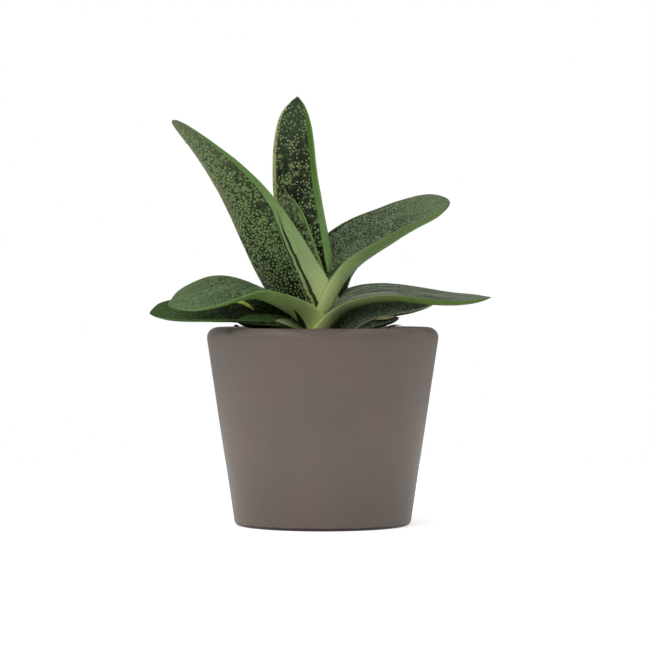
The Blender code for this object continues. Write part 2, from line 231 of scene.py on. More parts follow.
def paint(tree, shader, tone):
    """Give the shader its base colour."""
    tree.links.new(tone, shader.inputs["Base Color"])


def bump(tree, shader, height, strength, depth):
    """Feed a height to the shader's normal: depth is in metres."""
    inputs = {"Height": height, "Strength": strength, "Distance": depth}
    tree.links.new(add_node(tree, "ShaderNodeBump", inputs).outputs[0], shader.inputs["Normal"])


print("mid grey is", round(colour(128, 128, 128)[0], 3), "in linear light")

# %% [markdown]
# ## Room
#
# The room is plain white where the camera looks past the plant, but lights it less than that, so
# that the gaps between the leaves stay dark. One evenly white world would wash them out. A Light
# Path node tells the two apart.

# %% Room
WHITE = (1, 1, 1, 1)
WORLD_FILL = 0.42
world = bpy.data.worlds.new("white_room")
scene.world = world
world.use_nodes = True
tree = world.node_tree
fill = tree.nodes["Background"]
fill.inputs["Color"].default_value = WHITE
fill.inputs["Strength"].default_value = WORLD_FILL
seen = add_node(tree, "ShaderNodeBackground", {"Color": WHITE, "Strength": 1.0})
looked_at = add_node(tree, "ShaderNodeLightPath").outputs["Is Camera Ray"]
choice = add_node(tree, "ShaderNodeMixShader", {0: looked_at, 1: fill.outputs[0], 2: seen.outputs[0]})
tree.links.new(choice.outputs[0], tree.nodes["World Output"].inputs[0])
print("the room lights the plant at", WORLD_FILL)

# %% [markdown]
# ## Floor
#
# The pot stands on a round light table. Its top glows faintly, so it stays white right up to the
# pot's foot and its edge is lost in the white room. A floor lit by the lamps alone would go grey
# around the pot. It isn't part of the object, so it is declared as stage.

# %% Floor
FLOOR_RADIUS = 0.45
FLOOR_SIDES = 96
FLOOR_GLOW = 0.61
FLOOR_DULL, FLOOR_BRIGHT = colour(243, 243, 242), colour(248, 248, 247)
bm = bmesh.new()
bmesh.ops.create_circle(bm, cap_ends=True, segments=FLOOR_SIDES, radius=FLOOR_RADIUS)
floor_mesh = bpy.data.meshes.new("floor")
bm.to_mesh(floor_mesh)
bm.free()
floor = link_object("floor", floor_mesh)
floor_paint, tree, shader = new_material("floor_paint", 0.7)
tone = layered(tree, FLOOR_DULL, (cloud(tree, place_in_mm(tree), 0.01), FLOOR_BRIGHT))
paint(tree, shader, tone)
tree.links.new(tone, shader.inputs["Emission Color"])
shader.inputs["Emission Strength"].default_value = FLOOR_GLOW
floor_mesh.materials.append(floor_paint)
floor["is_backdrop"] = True
print("floor is", 2 * FLOOR_RADIUS, "m wide")

# %% [markdown]
# ## Helpers for geometry trees
#
# A Geometry Nodes tree works on a mesh and gives a mesh back, so one tree can serve many pieces with
# other sizes. These helpers start a tree with named sizes, end it with real mesh and a material, and
# run it over an object. The result is kept as a plain mesh and the modifier goes, so that nothing is
# left to be worked out later.

# %% Geometry tree helpers


def new_geometry_tree(name, sizes):
    """A Geometry Nodes tree with a geometry input and output, a Material and named sizes."""
    tree = bpy.data.node_groups.new(name, "GeometryNodeTree")
    tree.is_modifier = True
    tree.interface.new_socket("Geometry", in_out="INPUT", socket_type="NodeSocketGeometry")
    for size, value in sizes.items():
        kind = "NodeSocketInt" if isinstance(value, int) else "NodeSocketFloat"
        tree.interface.new_socket(size, in_out="INPUT", socket_type=kind).default_value = value
    tree.interface.new_socket("Material", in_out="INPUT", socket_type="NodeSocketMaterial")
    tree.interface.new_socket("Geometry", in_out="OUTPUT", socket_type="NodeSocketGeometry")
    return tree, tree.nodes.new("NodeGroupInput").outputs, tree.nodes.new("NodeGroupOutput")


def finish_tree(tree, geometry, given, result, smooth=True):
    """End a tree: real mesh in place of instances, its shading, and the material."""
    real = add_node(tree, "GeometryNodeRealizeInstances", {0: geometry}).outputs[0]
    shading = {0: real, "Shade Smooth": smooth}
    shaded = add_node(tree, "GeometryNodeSetShadeSmooth", shading).outputs[0]
    inputs = {0: shaded, "Material": given["Material"]}
    tree.links.new(add_node(tree, "GeometryNodeSetMaterial", inputs).outputs[0], result.inputs[0])


def solved_mesh(obj):
    """The object's mesh with its modifiers worked out."""
    bpy.context.view_layer.update()
    solved = obj.evaluated_get(bpy.context.evaluated_depsgraph_get())
    return bpy.data.meshes.new_from_object(solved)


def grow(name, mesh, tree, **values):
    """Run a Geometry Nodes tree over a mesh, and keep the result as a plain mesh object."""
    obj = link_object(name, mesh)
    modifier = obj.modifiers.new(tree.name, "NODES")
    modifier.node_group = tree
    for item in tree.interface.items_tree:
        key = item.name.lower().replace(" ", "_")
        if item.in_out == "INPUT" and key in values:
            modifier[item.identifier] = values[key]
    result = solved_mesh(obj)
    obj.modifiers.clear()
    obj.data = result
    return obj


print("geometry tree helpers are ready")

# %% [markdown]
# ## A tree that turns a profile
#
# The pot and the stem are round about the upright axis, like clay on a wheel. A Screw modifier would
# turn them, but a Geometry Nodes tree can also let the radius wander a little, as a hand-finished
# wall does. It lays a grid over the profile: each row is a profile point, each column an angle.
# Merging closes the seam and the poles.

# %% Turning tree
SEAM = 0.01 * MM  # points closer than this are merged


def turning_tree():
    """Turn the object's own profile (r, 0, z) about the axis, with a slight unevenness."""
    sizes = {"Columns": 96, "Unevenness": 0.0, "Swell Scale": 30.0}
    tree, given, result = new_geometry_tree("turning", sizes)
    profile, columns = given["Geometry"], given["Columns"]
    count = add_node(tree, "GeometryNodeAttributeDomainSize", {0: profile}).outputs["Point Count"]
    both_ends = calculate(tree, "ADD", columns, 1)
    grid = add_node(tree, "GeometryNodeMeshGrid", {"Vertices X": both_ends, "Vertices Y": count})
    index = add_node(tree, "GeometryNodeInputIndex").outputs[0]
    column = calculate(tree, "FLOOR", calculate(tree, "DIVIDE", index, count))
    row = minus(tree, index, times(tree, column, count))
    where = add_node(tree, "GeometryNodeInputPosition").outputs[0]
    inputs = {"Geometry": profile, "Value": where, "Index": row}
    point = add_node(tree, "GeometryNodeSampleIndex", inputs, data_type="FLOAT_VECTOR").outputs[0]
    radius, _, height = split(tree, point)
    turn = calculate(tree, "DIVIDE", times(tree, column, math.tau), columns)
    heading = join(tree, calculate(tree, "COSINE", turn), calculate(tree, "SINE", turn), 0.0)
    x, y, _ = split(tree, scaled(tree, heading, radius))
    even = join(tree, x, y, height)
    swell = minus(tree, cloud(tree, even, given["Swell Scale"], detail=1.0), 0.5)
    lean = scaled(tree, heading, times(tree, swell, given["Unevenness"]))
    final = add_node(tree, "ShaderNodeVectorMath", {0: even, 1: lean}, operation="ADD").outputs[0]
    turned = add_node(tree, "GeometryNodeSetPosition", {0: grid.outputs[0], "Position": final})
    closed = add_node(tree, "GeometryNodeMergeByDistance", {0: turned.outputs[0], "Distance": SEAM})
    finish_tree(tree, closed.outputs[0], given, result)
    return tree


TURNING = turning_tree()


def profile_mesh(name, points):
    """A profile's points (r, z) as a mesh, in order."""
    mesh = bpy.data.meshes.new(name)
    mesh.from_pydata([(r, 0, z) for r, z in points], [(i, i + 1) for i in range(len(points) - 1)], [])
    return mesh


print("turning tree has", len(TURNING.nodes), "nodes")

# %% [markdown]
# ## Clay
#
# The pot has a satin taupe glaze: an even grey-brown with faint cloudy mottling, a few tiny dark
# pinholes, and a soft shine that brightens at grazing angles. The shader gives that shine by itself
# from a thin coat. A brown oval on the front of the rim is a painted reflection of the dark leaves
# above it. The lower wall is painted darker towards the foot as shade. At the foot the glaze stops,
# and the bare clay there is painted darker still as the shade where the pot meets the table.

# %% Clay material
GLAZE_WARM, GLAZE_COOL = colour(102, 90, 82), colour(97, 88, 82)
GLAZE_GRAIN = colour(80, 70, 61)
PINHOLE_TONE = colour(40, 33, 28)
PINHOLE_CELLS = 0.075  # to the millimetre
PINHOLE_RARITY = 0.62  # the share of the cells that have none
# painted shade: the lower wall is darkened towards the foot
LOWER_WALL_SHADE, LOWER_WALL_SHADE_TOP = colour(68, 58, 51), 36.0
# the bare clay of the foot, painted darker as the shade where the pot meets the table
FOOT_CLAY_AND_SHADE = colour(34, 22, 19)
# painted reflection: a brown oval on the front of the rim stands for the dark leaves reflected in its gloss
RIM_REFLECTION_TONE = colour(80, 63, 54)
RIM_REFLECTION_MIDDLE, RIM_REFLECTION_HALF = (-2, 86.4), (16, 3.8)
RIM_REFLECTION_STRENGTH = 0.7


def cells(tree, place, scale):
    """The distance to the nearest cell centre, and the cell's own random colour."""
    made = add_node(tree, "ShaderNodeTexVoronoi", {"Vector": place, "Scale": scale})
    return made.outputs["Distance"], made.outputs["Color"]


def front_oval(tree, x, y, z, middle, half):
    """A soft oval on the pot's front: its middle and half its size are (x, z) in millimetres."""
    wide = calculate(tree, "DIVIDE", minus(tree, x, middle[0]), half[0])
    tall = calculate(tree, "DIVIDE", minus(tree, z, middle[1]), half[1])
    squares = [calculate(tree, "POWER", off, 2.0) for off in (wide, tall)]
    in_front = calculate(tree, "LESS_THAN", y, 0.0)
    return times(tree, ramp(tree, calculate(tree, "ADD", *squares), 1.2, 0.6), in_front)


def pinholes(tree, place):
    """Small round pits, one in some of the cells."""
    distance, spin = cells(tree, place, PINHOLE_CELLS)
    chance = add_node(tree, "ShaderNodeSeparateColor", {0: spin}).outputs[0]
    picked = calculate(tree, "GREATER_THAN", chance, PINHOLE_RARITY)
    return times(tree, ramp(tree, distance, 0.035, 0.02), picked)


def clay_material():
    """Taupe glaze over stoneware."""
    material, tree, shader = new_material("pot_clay_glaze")
    place = place_in_mm(tree)
    x, y, z = split(tree, place)
    mottling = ramp(tree, cloud(tree, place, 0.035, detail=3.0), 0.35, 0.65)
    grain = ramp(tree, cloud(tree, place, 0.9, detail=4.0, rough=0.7), 0.3, 0.7)
    pits = pinholes(tree, place)
    # painted shade on the lower wall
    lower = ramp(tree, calculate(tree, "ADD", z, cloud(tree, place, 0.25)), LOWER_WALL_SHADE_TOP, 0.0)
    # painted reflection of the dark leaves on the front of the rim
    rim_reflection = front_oval(tree, x, y, z, RIM_REFLECTION_MIDDLE, RIM_REFLECTION_HALF)
    # the foot: bare clay with painted shade where the pot meets the table
    foot = calculate(tree, "ADD", z, times(tree, cloud(tree, place, 0.3), 0.8))
    tone = layered(
        tree, GLAZE_WARM, (mottling, GLAZE_COOL), (times(tree, grain, 0.16), GLAZE_GRAIN),
        (times(tree, pits, 0.55), PINHOLE_TONE), (times(tree, lower, 0.3), LOWER_WALL_SHADE),
        (times(tree, rim_reflection, RIM_REFLECTION_STRENGTH), RIM_REFLECTION_TONE), (ramp(tree, foot, 2.0, 1.4), FOOT_CLAY_AND_SHADE))
    paint(tree, shader, tone)
    gloss = add_node(tree, "ShaderNodeMapRange", {"Value": grain, "To Min": 0.5, "To Max": 0.6})
    tree.links.new(gloss.outputs["Result"], shader.inputs["Roughness"])
    shader.inputs["Specular IOR Level"].default_value = 0.22
    shader.inputs["Coat Weight"].default_value = 0.15
    shader.inputs["Coat Roughness"].default_value = 0.24
    bump(tree, shader, minus(tree, times(tree, grain, 0.25), pits), 0.35, 0.1 * MM)
    return material


POT_CLAY = clay_material()
print("clay has", len(POT_CLAY.node_tree.nodes), "nodes")

# %% [markdown]
# ## Pot
#
# The wall is straight and leans outwards. A rolled rim and a soft heel are arcs that meet the wall
# without a corner, which is why their angles follow the wall's slope. The inside drops to a flat
# floor under the mix. A Bezier profile would be quicker to draw, but with lines and arcs every
# radius and wall is a named size.

# %% Pot
POT_HEIGHT = 85.6 * MM
POT_TOP_RADIUS = 50.8 * MM
POT_BASE_RADIUS = 38 * MM
POT_WALL = 6 * MM
POT_FLOOR = 6 * MM
RIM_OUTER_ROUND = 4.5 * MM
RIM_INNER_ROUND = 1.6 * MM
HEEL_ROUND = 2.4 * MM
INNER_STEPS, OUTER_STEPS, HEEL_STEPS = 8, 14, 10
WALL_ROWS = 30


def wall_radius(z):
    """The pot's outer radius at a height, along its straight wall."""
    return POT_BASE_RADIUS + (POT_TOP_RADIUS - POT_BASE_RADIUS) * z / POT_HEIGHT


def arc(centre, radius, start, end, steps):
    """Points (r, z) of an arc in the profile plane, between two angles in degrees."""
    turns = [math.radians(start + (end - start) * i / steps) for i in range(steps + 1)]
    return [(centre[0] + radius * math.cos(a), centre[1] + radius * math.sin(a)) for a in turns]


def pot_profile():
    """From the floor inside, up over the rim, down the wall and round the heel to the axis."""
    slope = math.degrees(math.atan2(POT_TOP_RADIUS - POT_BASE_RADIUS, POT_HEIGHT))
    inner_z = POT_HEIGHT - RIM_INNER_ROUND
    outer_z = POT_HEIGHT - RIM_OUTER_ROUND
    inner_centre = (wall_radius(inner_z) - POT_WALL + RIM_INNER_ROUND, inner_z)
    outer_centre = (wall_radius(outer_z) - RIM_OUTER_ROUND, outer_z)
    heel_centre = (wall_radius(HEEL_ROUND) - HEEL_ROUND, HEEL_ROUND)
    rim = arc(inner_centre, RIM_INNER_ROUND, 180 - slope, 90, INNER_STEPS)
    rim += arc(outer_centre, RIM_OUTER_ROUND, 90, -slope, OUTER_STEPS)
    heel = arc(heel_centre, HEEL_ROUND, -slope, -90, HEEL_STEPS)
    inner_foot = (wall_radius(POT_FLOOR) - POT_WALL, POT_FLOOR)
    rows = [i / WALL_ROWS for i in range(1, WALL_ROWS)]
    inside = [tuple(a + (b - a) * t for a, b in zip(inner_foot, rim[0])) for t in rows]
    outside = [tuple(a + (b - a) * t for a, b in zip(rim[-1], heel[0])) for t in rows]
    return [(0, POT_FLOOR), inner_foot] + inside + rim + outside + heel + [(0, 0)]


def face_out(obj):
    """Point a closed mesh's faces outwards."""
    bm = bmesh.new()
    bm.from_mesh(obj.data)
    bmesh.ops.recalc_face_normals(bm, faces=bm.faces)
    bm.to_mesh(obj.data)
    bm.free()


def place_piece(obj, slot, *nodes):
    """Hand a finished piece to the frame: it rides on the root and stands for its CAD nodes."""
    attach(obj, "root")
    if nodes:
        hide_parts(*nodes)
    triangles = sum(len(face.vertices) - 2 for face in obj.data.polygons)
    print(f"{obj.name}: {triangles} triangles")


pot = grow("pot_turned", profile_mesh("pot_turned", pot_profile()), TURNING,
           columns=160, unevenness=0.3 * MM, swell_scale=28.0, material=POT_CLAY)
face_out(pot)
place_piece(pot, "pot_clay", "pot")

# %% [markdown]
# ## Leaf shapes
#
# Each leaf is a loft. Its stations run along the middle of the upper face, from the stem to the tip,
# with the width from margin to margin. The section is a shallow channel above and a keel below,
# off to one side, so a leaf has an upper face, a wide flank and a narrow flank. Drawing the section
# at every station by hand would take hundreds of points, so a smooth curve runs through the
# stations and a formula draws the section.

# %% Leaf stations
# line: stations (x, y, z, width); face: which way the upper face looks; both from stem to tip
# keel: depths below the upper face from stem to tip; side: where the keel lies, from -1 to 1
# point: how sharp the tip is, from 0, where nothing is given, to 1
LEAVES = {
    "leaf_centre_young": {
        "line": [
            (1, 0, 88, 10), (-1.5, -1, 97, 11), (-6.4, -2, 107.8, 12.5), (-9.3, -3, 114.8, 13.8),
            (-12, -3, 121.7, 14.8), (-13.9, -3, 127.8, 14.2), (-15.3, -3, 133, 13.2),
            (-16.3, -3, 137.6, 11), (-16.6, -3, 140.6, 7.2), (-16.3, -3, 142.5, 2.4),
            (-16.1, -3, 145.4, 0),
        ],
        "face": [(-0.4, -0.9, 0.2), (-0.55, -0.83, 0.15), (-0.5, -0.86, 0.1)],
        "keel": (6, 4), "side": 0.92, "point": 1,
    },
    "leaf_back_tall": {
        "line": [
            (2, 2, 86, 14), (-1.6, 2.5, 95, 17), (-5.2, 3, 103.8, 19.5), (-8.2, 3.5, 114.7, 21.6),
            (-10.1, 4.5, 125.6, 22.6), (-11.9, 6, 136.6, 22.2), (-13.1, 8, 145.3, 21.2),
            (-13.8, 10, 156.2, 20.4), (-13.9, 12, 167.2, 18.9), (-13.5, 13, 175, 16.4),
            (-12.5, 13.5, 180.9, 11.8), (-11.6, 14, 184.2, 6.4), (-11, 14, 186.8, 0),
        ],
        "face": [(-0.5, -0.86, 0.15), (-0.5, -0.86, 0.05), (-0.5, -0.86, 0.0)],
        "keel": (8.8, 4.6), "side": 0.92, "point": 0.7,
    },
    "leaf_left_tall": {
        "line": [
            (2.2, 3, 84, 27), (-5.7, 1, 95, 29.8), (-13.1, -2, 106.5, 29.8),
            (-20.3, -5.5, 119.6, 28.4), (-27, -9, 132.1, 25.2), (-33, -11.5, 141.3, 21.7),
            (-38.7, -14, 149.3, 18.3), (-44.5, -15.5, 155.7, 14.5), (-49.9, -17, 161.3, 11.1),
            (-57.9, -18.5, 169, 6.8), (-63.5, -19.7, 173.5, 4.2), (-65.2, -20, 174.7, 0),
        ],
        "face": [(0.4, 0.9, 0.25), (0.3, 0.93, 0.3), (0.3, 0.9, 0.4)],
        "keel": (9, 4.5), "side": -0.58,
    },
    "leaf_right_long": {
        "line": [
            (-5, 0, 85, 24), (-5, -1, 95, 25), (-4.1, 0.3, 103.8, 25), (-1.5, 3, 111, 25),
            (2.5, 5.8, 117.5, 26.4), (7.5, 7.6, 122.5, 25.2), (14.2, 8.8, 126, 22.5),
            (21.3, 9.5, 129.2, 19.7), (29.3, 10.5, 132.9, 18), (37, 11.5, 136.3, 16.4),
            (45.6, 12.5, 138.9, 14.6), (52.2, 13.5, 140.3, 11.5), (56.9, 14, 140.2, 0),
        ],
        "face": [
            (-1, 0.15, 0), (-0.78, -0.55, 0.36), (-0.48, -0.71, 0.54), (-0.3, -0.74, 0.6),
            (-0.2, -0.7, 0.66),
        ],
        "keel": (7.5, 8.8, 8.9, 6.2, 4.4), "side": 0.86,
    },
    "leaf_back_right": {
        "line": [
            (1.5, 3, 87, 15), (2.5, 6, 97, 17), (4, 8.5, 105, 17), (6.6, 12, 110.5, 16.5),
            (12.5, 18, 117, 15), (19.5, 24.5, 122.5, 12), (26, 30, 126.5, 8), (31, 34, 128.8, 0),
        ],
        "face": [(-0.5, -0.7, 0.5), (-0.5, -0.65, 0.55), (-0.35, -0.65, 0.68)],
        "keel": (5.5, 3.5), "side": 0.5,
    },
    "leaf_left_arched": {
        "line": [
            (1, -2.5, 81, 17), (-2.5, -5.2, 91.4, 19.4), (-8.5, -9, 96.4, 20.4),
            (-16.6, -14.5, 100, 20.6), (-24, -20, 102.8, 20.8), (-31.4, -26, 104.8, 20.6),
            (-39, -32, 103.9, 20.2), (-47.9, -37, 100.9, 18.2), (-55.5, -40.5, 98.3, 14),
            (-60.8, -42.6, 96.8, 9.6), (-65.2, -44, 95.3, 0),
        ],
        "face": [
            (0.6, 0.3, 0.75), (0.1, -0.02, 0.98), (0, -0.27, 0.96), (-0.1, -0.75, 0.65),
            (-0.15, -0.85, 0.5),
        ],
        "keel": (13, 9.4, 5.2, 4.9, 3.6), "side": -0.6, "point": 0.4,
    },
    "leaf_left_low": {
        "line": [
            (1, 0, 83.5, 15), (-10, -3, 90, 18), (-18, -8, 92.4, 19), (-27, -12, 93.3, 19.5),
            (-36, -16, 94.3, 19.5), (-46.5, -20, 94.2, 19), (-57, -24, 93.6, 17.5),
            (-64.5, -27, 93.1, 16), (-70, -29, 92.5, 10.4), (-73.7, -30, 91.8, 0),
        ],
        "face": [(0.2, -0.4, 0.9), (-0.05, -0.6, 0.8), (-0.1, -0.6, 0.8)],
        "keel": (6, 3), "side": -0.5, "point": 0.4,
    },
    "leaf_right_arched": {
        "line": [
            (-9, -4, 82, 22), (-3.4, -5.5, 90, 24), (3.4, -8, 96.4, 24.6), (11, -11, 100.5, 24),
            (20.3, -14, 102.1, 21.6), (29.5, -16, 102.3, 19.6), (38.4, -17.5, 101.3, 17.8),
            (48.1, -19, 99.7, 15.6), (57.5, -20.5, 98.7, 12.6), (65.1, -21.5, 98.6, 8.8),
            (72, -22, 98.7, 0),
        ],
        "face": [
            (-0.68, -0.18, 0.68), (-0.3, -0.3, 0.92), (0, -0.26, 0.96), (0.05, -0.28, 0.95),
            (0.05, -0.35, 0.94),
        ],
        "keel": (8, 5.4, 3.9, 3.4, 2.2), "side": 0.75, "point": 0.6,
    },
    "leaf_right_tucked": {
        "line": [
            (2, -3, 80, 13), (9, -6, 87.5, 15), (15, -7.5, 91.3, 15), (22, -9, 93.8, 14.8),
            (30, -11, 95.2, 13.6), (39, -12.5, 95.8, 10.6), (49.5, -14, 96.8, 0),
        ],
        "face": [(-0.3, -0.7, 0.7), (0, -0.6, 0.8), (0.05, -0.6, 0.8)],
        "keel": (5, 3), "side": 0.5,
    },
    "leaf_left_short": {
        "line": [
            (-1, -6, 81, 9), (-9, -11, 86.6, 10.5), (-16, -16, 88.6, 11), (-24, -20, 89.3, 10.5),
            (-31, -23, 89.2, 9), (-37.4, -25, 88.7, 0),
        ],
        "face": [(0.1, -0.6, 0.8), (-0.05, -0.5, 0.86), (-0.1, -0.5, 0.86)],
        "keel": (4.2, 3.8), "side": -0.5,
    },
    "leaf_right_old": {
        "line": [
            (4, -6, 80, 9), (12, -9, 85.4, 11), (18, -11.5, 87.8, 11.5), (25, -14, 89.2, 10),
            (33.5, -16, 90, 0),
        ],
        "face": [(-0.2, -0.7, 0.7), (0, -0.6, 0.8), (0.05, -0.5, 0.85)],
        "keel": (3.6, 2.6), "side": 0.5,
    },
    "leaf_left_bud": {
        "line": [
            (2, -9, 78.5, 7), (-4, -12, 83.6, 7.6), (-9.5, -16, 86.2, 7.6), (-15, -20, 88, 7),
            (-20.8, -23.5, 89, 0),
        ],
        "face": [(0.2, -0.6, 0.8), (0, -0.6, 0.8), (-0.1, -0.6, 0.8)],
        "keel": (3.4, 2.6), "side": -0.4,
    },
}
SCRAPS = {
    "withered_sliver": {
        "line": [
            (-44, -14, 95, 1.2), (-41.5, -14, 96.6, 1.8), (-38, -14.2, 97.3, 2),
            (-34, -14.4, 96.5, 2.1), (-31, -14.8, 94.9, 1.9), (-29.2, -15, 92.8, 0),
        ],
        "face": [(-0.5, -0.5, 0.7), (0, -0.5, 0.85), (0.6, -0.5, 0.6)],
        "keel": (1.2, 1), "side": 0.2,
    },
    "withered_husk": {
        "line": [
            (22.5, -14.6, 89.4, 2.4), (25.5, -16.2, 90, 3.4), (28, -16.8, 90, 3), (31, -17.2, 90.6, 0),
        ],
        "face": [(0, -0.5, 0.85), (0.1, -0.5, 0.85)],
        "keel": (1.2, 1), "side": -0.2,
    },
    "twig": {
        "line": [
            (24.6, -20, 78.6, 1.6), (25.6, -20, 83.4, 1.7), (27.2, -20, 86.2, 1.6),
            (30, -20, 86.9, 1), (34.4, -20.4, 86.8, 0),
        ],
        "face": [(-0.6, -0.3, 0.7), (0, -0.3, 0.95)],
        "keel": (1.4, 1.2), "side": 0.1,
    },
    "rim_crumb": {
        "line": [
            (-39.2, 25.3, 85.7, 0.8), (-38.5, 25.7, 86.2, 1.5), (-37.6, 26.3, 86.2, 1.4),
            (-36.8, 26.9, 85.7, 0),
        ],
        "face": [(0, -0.3, 0.95), (0, -0.3, 0.95)],
        "keel": (1, 0.9), "side": 0,
    },
}
print(len(LEAVES), "leaves and", len(SCRAPS), "dry bits")

# %% [markdown]
# ## Curves through stations
#
# A leaf bends smoothly from the stem to its tip and turns about itself on the way. A Catmull-Rom
# curve runs through every station that it is given, which a Bezier curve does only with handles to
# set. Its places are told by the share of its length, so that the spacing of the rings doesn't
# depend on how far apart the stations lie.

# %% Curves
CURVE_SAMPLES = 240
FRAME_STEP = 0.01  # how far to each side a direction is measured, as a share of the length


def smooth_curve(points, u):
    """The values at the share u of a Catmull-Rom curve through the points."""
    spans = len(points) - 1
    at = min(max(u, 0), 1) * spans
    i = min(int(at), spans - 1)
    t = at - i
    b, c = points[i], points[i + 1]
    a = points[i - 1] if i > 0 else b * 2 - c
    d = points[i + 2] if i < spans - 1 else c * 2 - b
    bend, twist = 2 * a - 5 * b + 4 * c - d, 3 * b - a - 3 * c + d
    return 0.5 * (2 * b + (c - a) * t + bend * t**2 + twist * t**3)


def even_curve(points):
    """The same curve as a function of the share of its length in space."""
    line = [smooth_curve(points, i / CURVE_SAMPLES) for i in range(CURVE_SAMPLES + 1)]
    reach = [0.0]
    for a, b in zip(line, line[1:]):
        reach.append(reach[-1] + (b.xyz - a.xyz).length)

    def place(u):
        goal = min(max(u, 0), 1) * reach[-1]
        i = max(1, next((k for k, r in enumerate(reach) if r >= goal), CURVE_SAMPLES))
        share = (goal - reach[i - 1]) / (reach[i] - reach[i - 1])
        return line[i - 1].lerp(line[i], share)

    return place


def leaf_frame(place, faces, u):
    """The leaf's station at u, with the unit directions across it and out of its upper face."""
    after, before = place(min(u + FRAME_STEP, 1)), place(max(u - FRAME_STEP, 0))
    along = (after.xyz - before.xyz).normalized()
    wanted = smooth_curve(faces, u)
    out = (wanted - along * wanted.dot(along)).normalized()
    return place(u), along.cross(out).normalized(), out


def at_share(values, u):
    """The value at the share u of a row of evenly spaced values."""
    spans = len(values) - 1
    i = min(int(u * spans), spans - 1)
    return values[i] + (values[i + 1] - values[i]) * (u * spans - i)


print("a curve is measured in", CURVE_SAMPLES, "steps")

# %% [markdown]
# ## Leaf cages
#
# A coarse cage of rings, rounded by a Subdivision Surface, gives soft fleshy flanks, and creases keep
# the margins and the keel. Each face corner also stores where it lies in a UV map named leaf_map:
# u runs round the section (0 at the far margin, 1 at the near margin, 2 at the keel, 3 at the far
# margin again) and v runs from the stem to the tip. The skin's pattern reads it.

# %% Leaf cages
LEAF_RINGS = 10  # at most
LEAF_LEVELS = 3
RING_CROWDING = 1.5  # above 1, the rings crowd together towards the tip
EDGE_CREASE = 0.45
KEEL_CREASE = 0.35
ROUND_SHARES = (0, 0.275, 0.725, 1, 1.5, 2, 2.35, 2.7, 3)  # where a ring's points lie on the map
RING_POINTS = len(ROUND_SHARES) - 1
MARGIN_POINTS = (0, 3)
KEEL_POINTS = (5, 6)  # for a keel on the positive side, and on the negative
CHANNEL = 0.16  # how deep the upper face is hollowed by the stem, as a share of the keel's depth
DEEPEST_KEEL = 1.3  # as a share of half the width
BROAD_SWELL, FINE_SWELL, FINE_SHARE = 110, 320, 0.35  # unevenness: features to the metre


def leaf_section(leaf, u, half):
    """The keeled section at u, as (across, out) in metres, from one margin round by the keel."""
    # The keel keeps its depth almost to the tip, where it rounds off
    depth = at_share(leaf["keel"], u) * MM * max(1 - u**8, 0) ** 0.5
    depth = min(depth, DEEPEST_KEEL * half)
    groove = CHANNEL * depth * (1 - u)
    keel_at = leaf["side"] * half
    # Points go across by shares of half the width, and down by shares of the keel's depth
    section = [(-half, 0), (-0.45 * half, -groove), (0.45 * half, -groove), (half, 0)]
    if leaf["side"] > 0:
        section += [(0.51 * (half + keel_at) + 0.12 * half, -0.5 * depth), (keel_at, -depth)]
        section += [(0.1 * half, -0.82 * depth), (-0.55 * half, -0.48 * depth)]
    else:
        section += [(0.55 * half, -0.48 * depth), (-0.1 * half, -0.82 * depth), (keel_at, -depth)]
        section += [(0.51 * (keel_at - half) - 0.12 * half, -0.5 * depth)]
    return section


def leaf_cage(leaf):
    """The leaf's coarse cage as a bmesh: rings of points, an end cap and a pointed tip."""
    ring_count = min(len(leaf["line"]) + 1, LEAF_RINGS)
    place = even_curve([Vector(p) * MM for p in leaf["line"]])
    faces = [Vector(f).normalized() for f in leaf["face"]]
    bm = bmesh.new()
    crease = bm.edges.layers.float.new("crease_edge")
    sharp_point = bm.verts.layers.float.new("crease_vert")
    chart = bm.loops.layers.uv.new("leaf_map")
    rings, shares = [], [1 - (1 - i / ring_count) ** RING_CROWDING for i in range(ring_count)] + [1]
    for u in shares[:-1]:
        centre, across, out = leaf_frame(place, faces, u)
        section = leaf_section(leaf, u, 0.5 * centre.w)
        rings.append([bm.verts.new(centre.xyz + across * x + out * z) for x, z in section])
    tip = bm.verts.new(place(1).xyz)
    tip[sharp_point] = leaf.get("point", 0)
    rings.append([tip] * RING_POINTS)
    for low, high, u0, u1 in zip(rings, rings[1:], shares, shares[1:]):
        for j in range(RING_POINTS):
            k = (j + 1) % RING_POINTS
            from_share, to_share = side_shares(leaf, j)
            corners = [(low[j], from_share, u0), (low[k], to_share, u0)]
            if high[0] is tip:
                corners += [(tip, 0.5 * (from_share + to_share), u1)]
            else:
                corners += [(high[k], to_share, u1), (high[j], from_share, u1)]
            face = bm.faces.new([vert for vert, _, _ in corners])
            for loop, (_, share, u) in zip(face.loops, corners):
                loop[chart].uv = (share, u)
    bm.faces.new(rings[0][::-1])
    creases = {j: EDGE_CREASE for j in MARGIN_POINTS}
    creases[KEEL_POINTS[0] if leaf["side"] > 0 else KEEL_POINTS[1]] = KEEL_CREASE
    for low, high in zip(rings[:-1], rings[1:-1]):
        for j, sharp in creases.items():
            bm.edges.get((low[j], high[j]))[crease] = sharp
    bmesh.ops.recalc_face_normals(bm, faces=bm.faces)
    return bm


def side_shares(leaf, j):
    """How far round the section the side from point j to the next one starts and ends."""
    if leaf["side"] > 0:
        return ROUND_SHARES[j], ROUND_SHARES[j + 1]
    back = (MARGIN_POINTS[1] - j) % RING_POINTS or RING_POINTS
    return ROUND_SHARES[back], ROUND_SHARES[back - 1]


